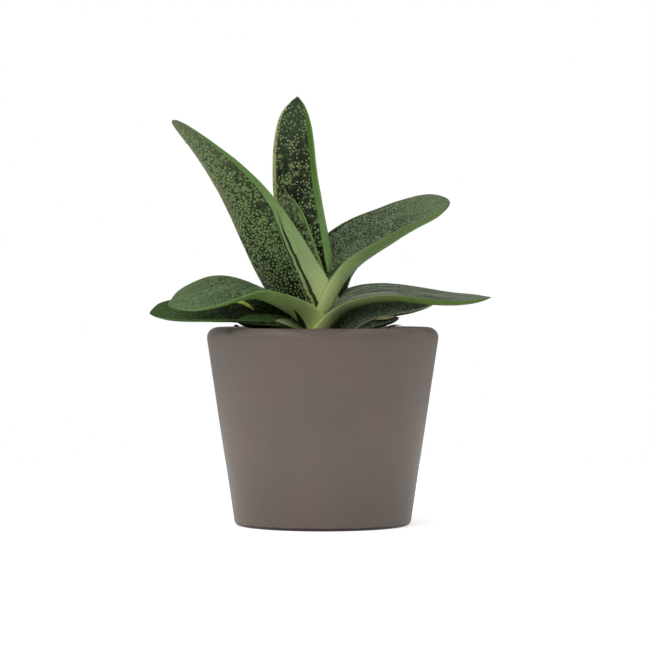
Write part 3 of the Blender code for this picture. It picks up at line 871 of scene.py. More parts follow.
def leaf_mesh(name, leaf, swell):
    """The leaf's fine mesh: its cage rounded off, with the slight unevenness of living flesh."""
    mesh = bpy.data.meshes.new(name)
    bm = leaf_cage(leaf)
    bm.to_mesh(mesh)
    bm.free()
    obj = link_object(name, mesh)
    rounding = obj.modifiers.new("round", "SUBSURF")
    rounding.levels = LEAF_LEVELS
    rounding.render_levels = LEAF_LEVELS
    rounding.uv_smooth = "NONE"
    fine = solved_mesh(obj)
    obj.modifiers.clear()
    obj.data = fine
    fine.shade_smooth()
    pushes = [noise.noise(vert.co * BROAD_SWELL) + FINE_SHARE * noise.noise(vert.co * FINE_SWELL)
              for vert in fine.vertices]
    moved = [vert.co + vert.normal * swell * push for vert, push in zip(fine.vertices, pushes)]
    for vert, spot in zip(fine.vertices, moved):
        vert.co = spot
    return obj


print("a ring has", RING_POINTS, "points")

# %% [markdown]
# ## Leaf skin: zones
#
# Gasteria skin is dark green and carries pale warts, but not everywhere. The narrow flank, the
# margins and the base by the stem stay smooth and pale, and the tip is greyer. These zones could be
# painted on each leaf by hand. The leaf map gives them to all leaves at once, because it says how far
# round the section and how far along the leaf a spot lies. A spot is gathered up as one bundle of
# sockets, so that the steps that follow can read what the earlier ones found.

# %% Skin zones
NEAR_MARGIN, KEEL, FAR_MARGIN = 1.0, 2.0, 3.0  # where they lie on the map, which starts at 0
BORDER = 0.02  # half the softness of the smooth flank's borders
WANDER_SCALE, WANDER = 0.22, 0.12  # how fine and how far the borders wander
FLANK_REACH = 1.35  # the factor on Smooth Reach at the stem; it falls by the way along the leaf
LINED_REACH = 0.27  # how much further it reaches where it is lined


def leaf_map(tree):
    """The two values of the map: the share round the section, and the way along the leaf."""
    share, along, _ = split(tree, add_node(tree, "ShaderNodeUVMap", uv_map="leaf_map").outputs[0])
    return share, along


def apart(tree, value, other):
    """How far two values lie apart."""
    return calculate(tree, "ABSOLUTE", minus(tree, value, other))


def add_smooth_flank(tree, given, spot):
    """The smooth flank starts at the near margin and narrows towards the tip."""
    reach = times(tree, given["Smooth Reach"], minus(tree, FLANK_REACH, spot.along))
    reach = calculate(tree, "MINIMUM", reach, given["Smooth Limit"])
    spot.lined = times(tree, ramp(tree, spot.along, 0.55, 0.4), given["Lines"])
    reach = calculate(tree, "MULTIPLY_ADD", spot.lined, LINED_REACH, reach)
    past = minus(tree, minus(tree, spot.share, NEAR_MARGIN), reach)
    spot.past = calculate(tree, "MULTIPLY_ADD", spot.wander, WANDER, past)
    begun = ramp(tree, minus(tree, spot.share, given["Smooth Start"]), -BORDER, BORDER)
    spot.flank = times(tree, begun, ramp(tree, spot.past, BORDER, -BORDER))


def add_ends_and_margins(tree, given, spot):
    """The worn margins, the pale base by the stem and the greyer tip."""
    from_far = calculate(tree, "MINIMUM", spot.share, minus(tree, FAR_MARGIN, spot.share))
    from_near = apart(tree, spot.share, NEAR_MARGIN)
    edges = [ramp(tree, minus(tree, off, given[width]), 0.02, -0.03)
             for off, width in ((from_far, "Far Margin"), (from_near, "Near Margin"))]
    spot.from_far = from_far
    spot.worn = cloud(tree, spot.place, 1.1)
    spot.margin = times(tree, calculate(tree, "MAXIMUM", *edges), ramp(tree, spot.worn, 0.3, 0.5))
    wandered = calculate(tree, "MULTIPLY_ADD", spot.wander, WANDER, spot.along)
    spot.close = calculate(tree, "DIVIDE", wandered, given["Base Reach"])
    spot.base = ramp(tree, spot.close, 1.35, 0.55)
    spot.tip = times(tree, ramp(tree, spot.along, 0.55, 1.0), given["Greying"])


def new_spot(tree, given):
    """Where a spot of skin lies, and the zones that it belongs to."""
    spot = SimpleNamespace(place=place_in_mm(tree))
    spot.share, spot.along = leaf_map(tree)
    spot.wander = minus(tree, cloud(tree, spot.place, WANDER_SCALE), 0.5)
    add_smooth_flank(tree, given, spot)
    add_ends_and_margins(tree, given, spot)
    return spot


print("the keel lies at", KEEL, "of", FAR_MARGIN, "round the section")

# %% [markdown]
# ## Leaf skin: pattern
#
# Between the warts, paler tissue joins them into mazes and loose cross bands, with fine streaks along
# the leaf. Cells of a Voronoi texture make the dots, and a ripple bends the place that they are drawn
# at, so that they run together into worms. A plain noise would look like clouds, not like tissue.

# %% Skin pattern
STREAKS = (9.0, 2.4)  # features round the section, and along the leaf
BANDS = (2.5, 13.0)
DRAWN_OUT = (24.0, 62.0)
RIPPLE, RIPPLE_SCALE = (1.9, 1.9, 1.9), 1.1
DOT_SOFTNESS = 0.05
DOT_SWELLING = 0.25
DOTS_SMALLER_AT_BASE = 0.14


def on_map(tree, spot, features):
    """The leaf map as a place for a pattern."""
    across, lengthwise = features
    return join(tree, times(tree, spot.share, across), times(tree, spot.along, lengthwise), 0.0)


def add_bands(tree, given, spot):
    """Lengthwise streaks, and the cover of the pattern, with bare gaps between loose cross bands."""
    streaks = cloud(tree, on_map(tree, spot, STREAKS), 1.4, detail=3.0, rough=0.6)
    spot.streak = ramp(tree, streaks, 0.42, 0.62)
    gap = ramp(tree, cloud(tree, on_map(tree, spot, BANDS), 1.0), 0.56, 0.44)
    bare = times(tree, given["Banding"], gap)
    rough_part = times(tree, minus(tree, 1.0, spot.flank), ramp(tree, spot.close, 0.7, 1.5))
    spot.cover = times(tree, rough_part, minus(tree, 1.0, bare))


def dots(tree, given, spot, place):
    """Uneven dots that merge into worms where they swell."""
    ripple = add_node(tree, "ShaderNodeTexNoise", {"Vector": place, "Scale": RIPPLE_SCALE, "Detail": 1.0})
    inputs = {0: ripple.outputs["Color"], 1: RIPPLE, 2: place}
    bent = add_node(tree, "ShaderNodeVectorMath", inputs, operation="MULTIPLY_ADD").outputs[0]
    distance, _ = cells(tree, bent, given["Grain"])
    swelling = minus(tree, cloud(tree, spot.place, 0.3, detail=1.0), 0.5)
    size = calculate(tree, "MULTIPLY_ADD", swelling, DOT_SWELLING, given["Dot Size"])
    smaller = times(tree, ramp(tree, spot.along, 0.35, 0.05), DOTS_SMALLER_AT_BASE)
    off = minus(tree, distance, minus(tree, size, smaller))
    return times(tree, ramp(tree, off, DOT_SOFTNESS, -DOT_SOFTNESS), given["Dots"])


def add_pale_tissue(tree, given, spot):
    """Dots and a finer maze between them, drawn out along the leaf where Stretch is above 0."""
    inputs = {0: given["Stretch"], 4: spot.place, 5: on_map(tree, spot, DRAWN_OUT)}
    place = add_node(tree, "ShaderNodeMix", inputs, data_type="VECTOR").outputs[1]
    maze = ramp(tree, cloud(tree, place, 1.1, detail=1.0, distort=0.8), 0.47, 0.56)
    maze = times(tree, maze, given["Maze"])
    pale = calculate(tree, "MAXIMUM", dots(tree, given, spot, place), maze)
    # painted shade: the pale tissue is dimmed towards the base, where the crowded leaves shade it
    base_shade = times(tree, ramp(tree, spot.along, 0.42, 0.12), given["Base Dimming"])
    spot.pale = times(tree, pale, spot.cover, minus(tree, 1.0, base_shade))


print("a leaf has room for about", BANDS[1], "cross bands")

# %% [markdown]
# ## Leaf skin: colours
#
# The colours go on from the ground up: the warted skin, the smooth flank, the base and the margins,
# and then the marks that only some leaves have, which are dark lines beside the smooth flank, painted
# shade along the keel and a painted shadow in a cleft by the base. A leaf could have one painted
# picture for all this, but layers that follow the zones fit every leaf and stay sharp close up.

# %% Skin colours
ROOT_TONE = colour(226, 240, 160)
# painted shade: the near black of a cleft in the flank, which the mesh doesn't have
CLEFT_SHADE_TONE = colour(10, 16, 6)
CLEFT_END, CLEFT_SLANT, CLEFT_PLACE = 0.34, 2.7, 1.6
DARK_LINES = {0.2: 0.05, 0.04: 0.027}  # how far before the smooth flank's end: half its width
LINE_SOFTNESS = 0.015


def warted_skin(tree, given, spot):
    """Dark ground, pale tissue, a greyer tip, and far edges that fade to the margin's colour."""
    streaking = times(tree, spot.streak, given["Streaking"])
    at_edge = ramp(tree, spot.from_far, 0.4, 0.02)
    faded = times(tree, at_edge, given["Fading"], ramp(tree, spot.along, 0.4, 0.7))
    return layered(
        tree, given["Ground"], (streaking, given["Tip"]), (spot.pale, given["Spots"]),
        (spot.tip, given["Tip"]), (faded, given["Margin"]))


def smooth_skin(tree, given, spot):
    """The smooth flank: it pales towards the base and, on some leaves, away from the margin."""
    ageing = calculate(tree, "MULTIPLY_ADD", spot.wander, 0.2, spot.along)
    lit = times(tree, ramp(tree, spot.share, 1.22, 1.5), given["Flank Light"])
    return layered(
        tree, given["Smooth"], (ramp(tree, ageing, 0.75, 0.1), given["Base"]),
        (times(tree, spot.streak, 0.16), given["Ground"]), (lit, given["Base"]))


def dark_lines(tree, spot):
    """The shares of the dark lines that run beside the smooth flank's end."""
    for before, width in DARK_LINES.items():
        off = apart(tree, spot.past, -before)
        line = ramp(tree, off, width + LINE_SOFTNESS, width - LINE_SOFTNESS)
        yield times(tree, line, spot.lined, 0.92)


def cleft(tree, given, spot):
    """Painted shade of a narrow gap in the flank by the base, which slants and runs out at CLEFT_END."""
    rest = minus(tree, CLEFT_END, spot.along)
    middle = calculate(tree, "MULTIPLY_ADD", rest, CLEFT_SLANT, CLEFT_PLACE)
    off = minus(tree, apart(tree, middle, spot.share), times(tree, rest, given["Cleft"]))
    return times(tree, ramp(tree, off, 0.0, -0.03), 0.95)


def skin_colour(tree, given, spot):
    """All the layers of a spot's colour."""
    pith = layered(tree, given["Base"], (times(tree, spot.streak, 0.5), given["Smooth"]))
    near_root = times(tree, ramp(tree, spot.along, 0.3, 0.04), given["Root Light"],
                      calculate(tree, "MAXIMUM", spot.flank, spot.base))
    by_keel = ramp(tree, apart(tree, spot.share, KEEL), 0.4, 0.05)
    under = times(tree, by_keel, given["Keel Shade"], ramp(tree, spot.worn, 0.35, 0.6))
    return layered(
        tree, warted_skin(tree, given, spot), (spot.flank, smooth_skin(tree, given, spot)),
        (times(tree, spot.base, 0.92), pith), (times(tree, spot.margin, 0.85), given["Margin"]),
        (near_root, ROOT_TONE), *((line, given["Ground"]) for line in dark_lines(tree, spot)),
        (under, given["Ground"]), (cleft(tree, given, spot), CLEFT_SHADE_TONE))


print("dark lines beside the smooth flank:", len(DARK_LINES))

# %% [markdown]
# ## Leaf skin: the shared group
#
# All the leaves share this build-up and differ only in colours and amounts. Twelve separate materials
# would repeat it twelve times, so one node group holds it, and each leaf's material gives it its own
# values. The group also gives the relief and the gloss, because pale tissue stands a little proud and
# fine pores dull the shine.

# %% Leaf skin group
SKIN_COLOURS = ("Ground", "Spots", "Smooth", "Base", "Margin", "Tip")
SKIN_AMOUNTS = {
    "Dots": 1.0, "Dot Size": 0.36, "Grain": 0.62, "Maze": 0.3, "Banding": 0.3, "Stretch": 0.0,
    "Streaking": 0.2, "Greying": 0.5, "Base Reach": 0.15, "Smooth Start": 0.96, "Smooth Reach": 1.2,
    "Smooth Limit": 1.0, "Far Margin": 0.05, "Near Margin": 0.03, "Fading": 0.0, "Flank Light": 0.0,
    "Lines": 0.0, "Root Light": 0.0, "Keel Shade": 0.0, "Cleft": 0.0, "Base Dimming": 0.0,
}
SKIN_RESULTS = {"Colour": "NodeSocketColor", "Relief": "NodeSocketFloat", "Gloss": "NodeSocketFloat"}
SKIN_SHINE, SKIN_DULL = 0.42, 0.56  # the least and the most roughness


def leaf_skin_group():
    """Colour, relief and gloss of a gasteria's skin, from the leaf map and the place."""
    tree = bpy.data.node_groups.new("leaf_skin", "ShaderNodeTree")
    for name in SKIN_COLOURS:
        tree.interface.new_socket(name, in_out="INPUT", socket_type="NodeSocketColor")
    for name, value in SKIN_AMOUNTS.items():
        made = tree.interface.new_socket(name, in_out="INPUT", socket_type="NodeSocketFloat")
        made.default_value = value
    for name, kind in SKIN_RESULTS.items():
        tree.interface.new_socket(name, in_out="OUTPUT", socket_type=kind)
    given, result = tree.nodes.new("NodeGroupInput").outputs, tree.nodes.new("NodeGroupOutput")
    spot = new_spot(tree, given)
    add_bands(tree, given, spot)
    add_pale_tissue(tree, given, spot)
    tree.links.new(skin_colour(tree, given, spot), result.inputs["Colour"])
    pores = cloud(tree, spot.place, 3.0, detail=3.0, rough=0.6)
    relief = calculate(tree, "MULTIPLY_ADD", pores, 0.3, times(tree, spot.pale, 0.8))
    relief = calculate(tree, "MULTIPLY_ADD", spot.streak, 0.25, relief)
    tree.links.new(relief, result.inputs["Relief"])
    inputs = {"Value": pores, "To Min": SKIN_SHINE, "To Max": SKIN_DULL}
    gloss = add_node(tree, "ShaderNodeMapRange", inputs)
    tree.links.new(gloss.outputs["Result"], result.inputs["Gloss"])
    return tree


LEAF_SKIN = leaf_skin_group()


def leaf_material(name, looks):
    """One leaf's skin: the shared group with this leaf's colours and amounts."""
    material, tree, shader = new_material(name + "_skin")
    skin = add_node(tree, "ShaderNodeGroup", node_tree=LEAF_SKIN)
    for key, value in looks.items():
        socket = key.replace("_", " ").title()
        if socket in skin.inputs:
            skin.inputs[socket].default_value = value
    paint(tree, shader, skin.outputs["Colour"])
    tree.links.new(skin.outputs["Gloss"], shader.inputs["Roughness"])
    shader.inputs["Specular IOR Level"].default_value = 0.07
    bump(tree, shader, skin.outputs["Relief"], 0.5, 0.18 * MM)
    return material


print("skin group has", len(LEAF_SKIN.nodes), "nodes")

# %% [markdown]
# ## How the leaves differ
#
# The tall left leaf turns its densely warted wide flank to the front, the back leaf its darker upper
# face with warts in loose bands, and the old low leaves are dull. Most colours are those of the skin
# itself and shade comes from the lights, but the back right leaf and the tucked right leaf sit in deep
# shade and are painted lighter to make up for it. The short left leaf has its upper face painted
# lighter against its shade and its flank painted near black as the shade beneath it.

# %% Leaf looks
# Colours and amounts go to the skin group's sockets of the same names, and the rest to the warts:
# warts: how densely they cover the upper face and the wide flank; wart: the colour of their tops
# bead: about half a wart's length, and the least distance between two, in millimetres
LOOKS = {
    "leaf_left_tall": {
        "ground": colour(14, 27, 9), "spots": colour(108, 130, 78), "smooth": colour(94, 128, 66),
        "base": colour(158, 178, 124), "margin": colour(134, 130, 100), "tip": colour(116, 126, 98),
        "dot_size": 0.43, "maze": 0.2, "banding": 0.1, "greying": 0.5, "base_reach": 0.06,
        "smooth_reach": 0.8, "smooth_limit": 1.2, "lines": 1.0, "fading": 0.55, "root_light": 0.7,
        "base_dimming": 0.7, "grain": 0.7, "warts": (0.0, 1.0), "bead": (0.6, 1.3),
        "wart": colour(124, 143, 94),
    },
    "leaf_back_tall": {
        "ground": colour(9, 17, 8), "spots": colour(112, 130, 80), "smooth": colour(74, 112, 42),
        "base": colour(128, 160, 98), "margin": colour(160, 164, 112), "tip": colour(76, 90, 66),
        "dot_size": 0.4, "maze": 0.2, "banding": 0.85, "greying": 0.4, "base_reach": 0.05,
        "smooth_start": 0.97, "smooth_reach": 2.5, "far_margin": 0.11, "near_margin": -0.1,
        "flank_light": 0.8, "warts": (0.9, 0.8), "bead": (0.5, 1.3), "wart": colour(140, 158, 110),
    },
    "leaf_centre_young": {
        "ground": colour(28, 42, 20), "spots": colour(126, 144, 98), "smooth": colour(66, 98, 40),
        "base": colour(134, 166, 94), "margin": colour(128, 158, 90), "tip": colour(104, 118, 86),
        "dot_size": 0.46, "maze": 0.4, "banding": 0.5, "greying": 0.3, "base_reach": 0.05,
        "smooth_start": 1.2, "smooth_reach": 1.2, "near_margin": -0.1, "flank_light": 0.8,
        "warts": (0.9, 0.6), "bead": (0.46, 1.1), "wart": colour(126, 142, 94),
    },
    "leaf_right_long": {
        "ground": colour(18, 30, 19), "spots": colour(106, 122, 88), "smooth": colour(100, 126, 70),
        "base": colour(152, 172, 112), "margin": colour(104, 108, 78), "tip": colour(112, 130, 94),
        "dot_size": 0.4, "maze": 0.35, "banding": 0.5, "greying": 0.55, "base_reach": 0.2,
        "streaking": 0.25, "grain": 0.88, "smooth_reach": 2.0, "root_light": 0.35,
        "keel_shade": 0.4, "warts": (0.9, 0.5), "bead": (0.46, 1.15), "wart": colour(122, 138, 104),
    },
    # painted light: this leaf's colours are painted much lighter to make up for the deep shade it sits in
    "leaf_back_right": {
        "ground": colour(64, 90, 46), "spots": colour(148, 170, 114), "smooth": colour(60, 78, 42),
        "base": colour(84, 104, 56), "margin": colour(120, 140, 86), "tip": colour(84, 98, 70),
        "dot_size": 0.42, "maze": 0.3, "banding": 0.3, "base_reach": 0.05, "smooth_start": 2.9,
        "warts": (1.0, 1.0), "bead": (0.5, 1.3), "wart": colour(172, 190, 140),
    },
    "leaf_left_arched": {
        "ground": colour(34, 52, 26), "spots": colour(112, 131, 92), "smooth": colour(82, 110, 54),
        "base": colour(150, 172, 108), "margin": colour(116, 138, 88), "tip": colour(98, 118, 80),
        "dots": 0.5, "dot_size": 0.34, "maze": 0.6, "banding": 0.4, "greying": 0.55, "base_reach": 0.24,
        "streaking": 0.5, "grain": 0.8, "smooth_reach": 2.0, "root_light": 0.85, "cleft": 1.3,
        "warts": (0.25, 0.3), "bead": (0.4, 1.3), "wart": colour(112, 130, 92),
    },
    "leaf_left_low": {
        "ground": colour(9, 16, 6), "spots": colour(54, 72, 40), "smooth": colour(54, 82, 34),
        "base": colour(58, 76, 36), "margin": colour(82, 112, 58), "tip": colour(68, 92, 48),
        "dot_size": 0.34, "maze": 0.4, "banding": 0.6, "greying": 0.7, "base_reach": 0.1,
        "near_margin": 0.08, "smooth_reach": 0.7, "warts": (0.7, 0.7), "bead": (0.44, 1.3),
        "wart": colour(88, 108, 66),
    },
    "leaf_right_arched": {
        "ground": colour(28, 34, 25), "spots": colour(112, 124, 100), "smooth": colour(84, 106, 50),
        "base": colour(136, 150, 104), "margin": colour(104, 124, 72), "tip": colour(120, 130, 110),
        "dots": 0.5, "dot_size": 0.36, "maze": 0.6, "banding": 0.3, "greying": 0.4, "base_reach": 0.16,
        "streaking": 0.85, "grain": 0.6, "stretch": 1.0, "smooth_reach": 2.0, "root_light": 0.95,
        "keel_shade": 0.7, "warts": (0.25, 0.3), "bead": (0.38, 1.4), "wart": colour(112, 122, 98),
    },
    # painted light: this leaf's colours are painted much lighter to make up for the shade of the leaf above
    # it
    "leaf_right_tucked": {
        "ground": colour(104, 122, 100), "spots": colour(160, 176, 148), "smooth": colour(84, 96, 70),
        "base": colour(150, 156, 120), "margin": colour(172, 174, 142), "tip": colour(96, 108, 86),
        "maze": 0.4, "banding": 0.6, "base_reach": 0.12, "streaking": 0.3, "stretch": 1.0,
        "near_margin": 0.07, "smooth_reach": 0.5, "warts": (0.6, 0.6), "bead": (0.46, 1.3),
        "wart": colour(180, 194, 168),
    },
    # painted light and shade: the upper face is painted lighter against its shade, and the smooth colour,
    # which starts early on the upper face, is painted near black as the shade beneath the leaf
    "leaf_left_short": {
        "ground": colour(84, 116, 58), "spots": colour(122, 150, 90), "smooth": colour(20, 30, 13),
        "base": colour(120, 148, 80), "margin": colour(104, 134, 70), "tip": colour(84, 110, 58),
        "maze": 0.4, "dots": 0.5, "banding": 0.5, "base_reach": 0.2, "smooth_start": 0.72,
        "smooth_reach": 2.0, "warts": (0.5, 0.5), "bead": (0.38, 1.3), "wart": colour(112, 136, 84),
    },
    "leaf_right_old": {
        "ground": colour(60, 72, 58), "spots": colour(142, 158, 130), "smooth": colour(66, 76, 50),
        "base": colour(96, 100, 70), "margin": colour(122, 118, 84), "tip": colour(84, 90, 66),
        "maze": 0.5, "banding": 0.5, "base_reach": 0.12, "smooth_reach": 0.6,
        "warts": (0.6, 0.6), "bead": (0.42, 1.3), "wart": colour(160, 174, 148),
    },
    "leaf_left_bud": {
        "ground": colour(56, 86, 34), "spots": colour(96, 124, 68), "smooth": colour(60, 90, 38),
        "base": colour(88, 116, 58), "margin": colour(80, 108, 56), "tip": colour(176, 192, 146),
        "maze": 0.3, "dots": 0.3, "banding": 0.5, "greying": 0.9, "base_reach": 0.2,
        "warts": (0.3, 0.3), "bead": (0.34, 1.4), "wart": colour(120, 142, 96),
    },
}
print("looks for", len(LOOKS), "leaves")

# %% [markdown]
# ## Warts
#
# The warts are real bumps, and there are thousands of them, so Geometry Nodes scatter them: points
# keep a least distance from each other and follow a density that is painted on the leaf, and each
# carries a low bead of only twenty faces, stretched and turned at random. Beads that touch run
# together into the short worms that the real skin shows.

# %% Wart tree
WART_SPACING, WART_DENSITY, WART_SIZE = 0.8 * MM, 1.0e6, 0.42 * MM
WART_SHAPE = (0.8, 0.7, 0.45), (1.35, 1.0, 0.65)  # the least and the most stretch
WART_SHAPE_SEED, WART_TURN_SEED, WART_TINT_SEED = 11, 23, 37


def scatter(tree, given, cover):
    """Points on the surface with a least spacing, where a painted attribute lets them be."""
    named = {"Name": cover}
    painted = add_node(tree, "GeometryNodeInputNamedAttribute", named, data_type="FLOAT").outputs[0]
    return add_node(tree, "GeometryNodeDistributePointsOnFaces", {
        "Mesh": given["Geometry"], "Distance Min": given["Spacing"], "Density Max": given["Density"],
        "Density Factor": painted, "Seed": given["Seed"]}, distribute_method="POISSON").outputs


def random_vector(tree, low, high, seed):
    """A random vector for each point."""
    inputs = {0: low, 1: high, "Seed": seed}
    return add_node(tree, "FunctionNodeRandomValue", inputs, data_type="FLOAT_VECTOR").outputs[0]


def random_number(tree, low, high, seed):
    """A random number for each point."""
    inputs = {2: low, 3: high, "Seed": seed}
    return add_node(tree, "FunctionNodeRandomValue", inputs, data_type="FLOAT").outputs[1]


def beads(tree, points, turned, shape, size):
    """A bead of twenty faces on each point."""
    bead = add_node(tree, "GeometryNodeMeshIcoSphere", {"Radius": 1.0, "Subdivisions": 1}).outputs[0]
    return add_node(tree, "GeometryNodeInstanceOnPoints", {
        "Points": points, "Instance": bead, "Rotation": turned,
        "Scale": scaled(tree, shape, size)}).outputs[0]


def tinted(tree, instances, seed):
    """The same beads, each with a random tint for its material to read."""
    inputs = {0: instances, "Name": "tint", "Value": random_number(tree, 0.0, 1.0, seed)}
    return add_node(tree, "GeometryNodeStoreNamedAttribute", inputs,
                    data_type="FLOAT", domain="INSTANCE").outputs[0]


def wart_tree():
    """Beads over the surface: each is an icosphere sunk halfway into the skin."""
    sizes = {"Spacing": WART_SPACING, "Density": WART_DENSITY, "Size": WART_SIZE, "Seed": 1}
    tree, given, result = new_geometry_tree("warts", sizes)
    points = scatter(tree, given, "wart_cover")
    shape = random_vector(tree, *WART_SHAPE, WART_SHAPE_SEED)
    warts = beads(tree, points["Points"], points["Rotation"], shape, given["Size"])
    turn = join(tree, 0.0, 0.0, random_number(tree, 0.0, math.tau, WART_TURN_SEED))
    warts = add_node(tree, "GeometryNodeRotateInstances", {0: warts, "Rotation": turn}).outputs[0]
    finish_tree(tree, tinted(tree, warts, WART_TINT_SEED), given, result)
    return tree


WARTS = wart_tree()


def wart_material(name, looks):
    """Warts are a little paler than the maze between them, each with its own tint."""
    material, tree, shader = new_material(name + "_wart", 0.5)
    tint = add_node(tree, "ShaderNodeAttribute", attribute_name="tint").outputs["Fac"]
    worn = ramp(tree, cloud(tree, place_in_mm(tree), 0.5), 0.35, 0.65)
    paint(tree, shader, layered(
        tree, looks["spots"], (tint, looks["wart"]), (times(tree, worn, 0.5), looks["wart"])))
    shader.inputs["Specular IOR Level"].default_value = 0.2
    return material


print("wart tree has", len(WARTS.nodes), "nodes")

# %% [markdown]
# ## Leaves
#
# Now every leaf is made: the fine mesh, its skin, and the cover of its warts, painted from the leaf
# map. The cover leaves the narrow flank, the margins, the base and the very tip bare, and gathers
# the warts into loose cross bands.

# %% Leaves
WARTS_PER_AREA = 1.1e6  # to the square metre, before the least spacing thins them out
SKIN_SWELL = 0.16 * MM
BAND_MAP = (2.5, 16)  # features round the section, and along the leaf


def soft_step(low, high, value):
    """0 below low, 1 above high, and a soft step between."""
    share = min(max((value - low) / (high - low), 0), 1)
    return share * share * (3 - 2 * share)


def wart_cover(share, along, looks, seed):
    """How densely warts cover the leaf at a place on its map."""
    upper, wide = looks["warts"]
    if share < 1:
        cover = upper * soft_step(0.06, 0.16, share) * soft_step(0.0, 0.08, 1 - share)
    elif share > 2:
        cover = wide * soft_step(2.04, 2.12, share) * soft_step(0.05, 0.12, 3 - share)
    else:
        return 0.0
    past_base = soft_step(looks["base_reach"], 2.2 * looks["base_reach"], along)
    ends = past_base * soft_step(0.0, 0.05, 0.985 - along)
    band = noise.noise((BAND_MAP[0] * share, BAND_MAP[1] * along, seed))
    return cover * ends * (1 - looks["banding"] * soft_step(-0.1, 0.25, -band))


def paint_cover(mesh, looks, seed):
    """Store the warts' cover on the mesh's points."""
    chart = mesh.uv_layers["leaf_map"].data
    values = [0.0] * len(mesh.vertices)
    for loop in mesh.loops:
        share, along = chart[loop.index].uv
        values[loop.vertex_index] = wart_cover(share, along, looks, seed)
    mesh.attributes.new("wart_cover", "FLOAT", "POINT").data.foreach_set("value", values)


for seed, (name, leaf) in enumerate(LEAVES.items()):
    skin = leaf_mesh(name + "_fine", leaf, SKIN_SWELL)
    paint_cover(skin.data, LOOKS[name], seed)
    size, spacing = LOOKS[name]["bead"]
    warts = grow(name + "_warts", skin.data.copy(), WARTS, spacing=spacing * MM, size=size * MM,
                 density=WARTS_PER_AREA, seed=seed, material=wart_material(name, LOOKS[name]))
    skin.data.materials.append(leaf_material(name, LOOKS[name]))
    place_piece(skin, "leaf_skin", name)
    place_piece(warts, "leaf_skin")

# %% [markdown]
# ## Stem
#
# The stem is short and mostly hidden. Old leaves left ring scars on it. Separate rings round a plain
# rod would show seams, so the scars are small swellings of the turned profile.

# %% Stem
STEM_FOOT_Z = 66 * MM
STEM_TOP_Z = 97 * MM
STEM_RADIUS = 5.2 * MM
STEM_FIT = 0.95  # the ringed side's mean radius, as a share of the stem's
SCARS, SCAR_SWELLING = 7, 0.05
STEM_ROWS = 60
STEM_GREEN, STEM_OLIVE, SCAR_BROWN = colour(132, 142, 88), colour(104, 112, 66), colour(92, 74, 48)


def stem_profile():
    """Ringed side with a rounded top and foot."""
    points = [(0, STEM_TOP_Z)]
    for i in range(1, STEM_ROWS):
        share = i / STEM_ROWS
        ends = min(1, (max(1 - (2 * share - 1) ** 8, 0)) ** 0.5)
        ring = 1 + SCAR_SWELLING * math.cos(math.tau * SCARS * share)
        z = STEM_TOP_Z + (STEM_FOOT_Z - STEM_TOP_Z) * share
        points.append((STEM_RADIUS * STEM_FIT * ring * ends, z))
    return points + [(0, STEM_FOOT_Z)]


def stem_material():
    """Pale green flesh with brown scar rings."""
    material, tree, shader = new_material("stem_flesh", 0.55)
    place = place_in_mm(tree)
    rings = {"Vector": place, "Scale": (0.3, 0.3, 1.0)}
    flattened = add_node(tree, "ShaderNodeMapping", rings).outputs[0]
    scar = ramp(tree, cloud(tree, flattened, 0.8, detail=3.0), 0.52, 0.62)
    paint(tree, shader, layered(
        tree, STEM_GREEN, (cloud(tree, place, 0.3, detail=3.0), STEM_OLIVE),
        (times(tree, scar, 0.7), SCAR_BROWN)))
    bump(tree, shader, scar, 0.4, 0.3 * MM)
    return material


stem = grow("stem_ringed", profile_mesh("stem_ringed", stem_profile()), TURNING,
            columns=64, unevenness=0.5 * MM, swell_scale=120.0, material=stem_material())
face_out(stem)
place_piece(stem, "stem_skin", "stem")

# %% [markdown]
# ## Potting mix
#
# A free-draining mix of fine compost, bark crumbs and a little pale grit. Its body is turned like the
# pot's inside and roughened by noise, and a Geometry Nodes tree strews angular crumbs over the top.

# %% Mix body
GAP = 0.3 * MM
MIX_LEVEL = 80 * MM
MIX_RADIUS = 45 * MM
MIX_CROWN = 3.2 * MM
MIX_ROWS = 40
MIX_EDGE = wall_radius(MIX_LEVEL) - POT_WALL
LOOSE_DEPTH, LOOSE_MARGIN = 1 * MM, 2 * MM  # the loose top's depth, and its distance from the wall
LUMPS = {180: 0.5 * MM, 520: 0.35 * MM}  # features to the metre: their height
COMPOST_DARK, COMPOST_BROWN, COMPOST_FIBRE = colour(38, 29, 22), colour(74, 56, 42), colour(112, 88, 62)


def mix_height(radius):
    """The level of the mix at a distance from the axis: it rises towards the stem."""
    share = min(max(radius / MIX_RADIUS, 0), 1)
    return MIX_LEVEL + MIX_CROWN * (1 - share) ** 2


def mix_profile():
    """From the crown out to the wall and down to the pot's floor."""
    edge, foot = MIX_EDGE - GAP, POT_FLOOR + GAP
    radii = [edge * i / MIX_ROWS for i in range(MIX_ROWS)]
    side = [(edge, MIX_LEVEL), (wall_radius(POT_FLOOR) - POT_WALL - GAP, foot), (0, foot)]
    return [(r, mix_height(r)) for r in radii] + side


def mix_material():
    """Dark moist compost with fibres."""
    material, tree, shader = new_material("potting_mix_compost", 0.95)
    place = place_in_mm(tree)
    brown = ramp(tree, cloud(tree, place, 0.5, detail=5.0, rough=0.7), 0.35, 0.65)
    fleck = ramp(tree, cells(tree, place, 0.9)[0], 0.22, 0.1)
    paint(tree, shader, layered(
        tree, COMPOST_DARK, (brown, COMPOST_BROWN), (times(tree, fleck, 0.5), COMPOST_FIBRE)))
    bump(tree, shader, cloud(tree, place, 1.2, detail=5.0, rough=0.7), 0.9, 0.8 * MM)
    return material


def in_loose_top(spot):
    """Whether a point of the mix lies in its loose top."""
    return spot.z > MIX_LEVEL - LOOSE_DEPTH and spot.xy.length < MIX_EDGE - LOOSE_MARGIN


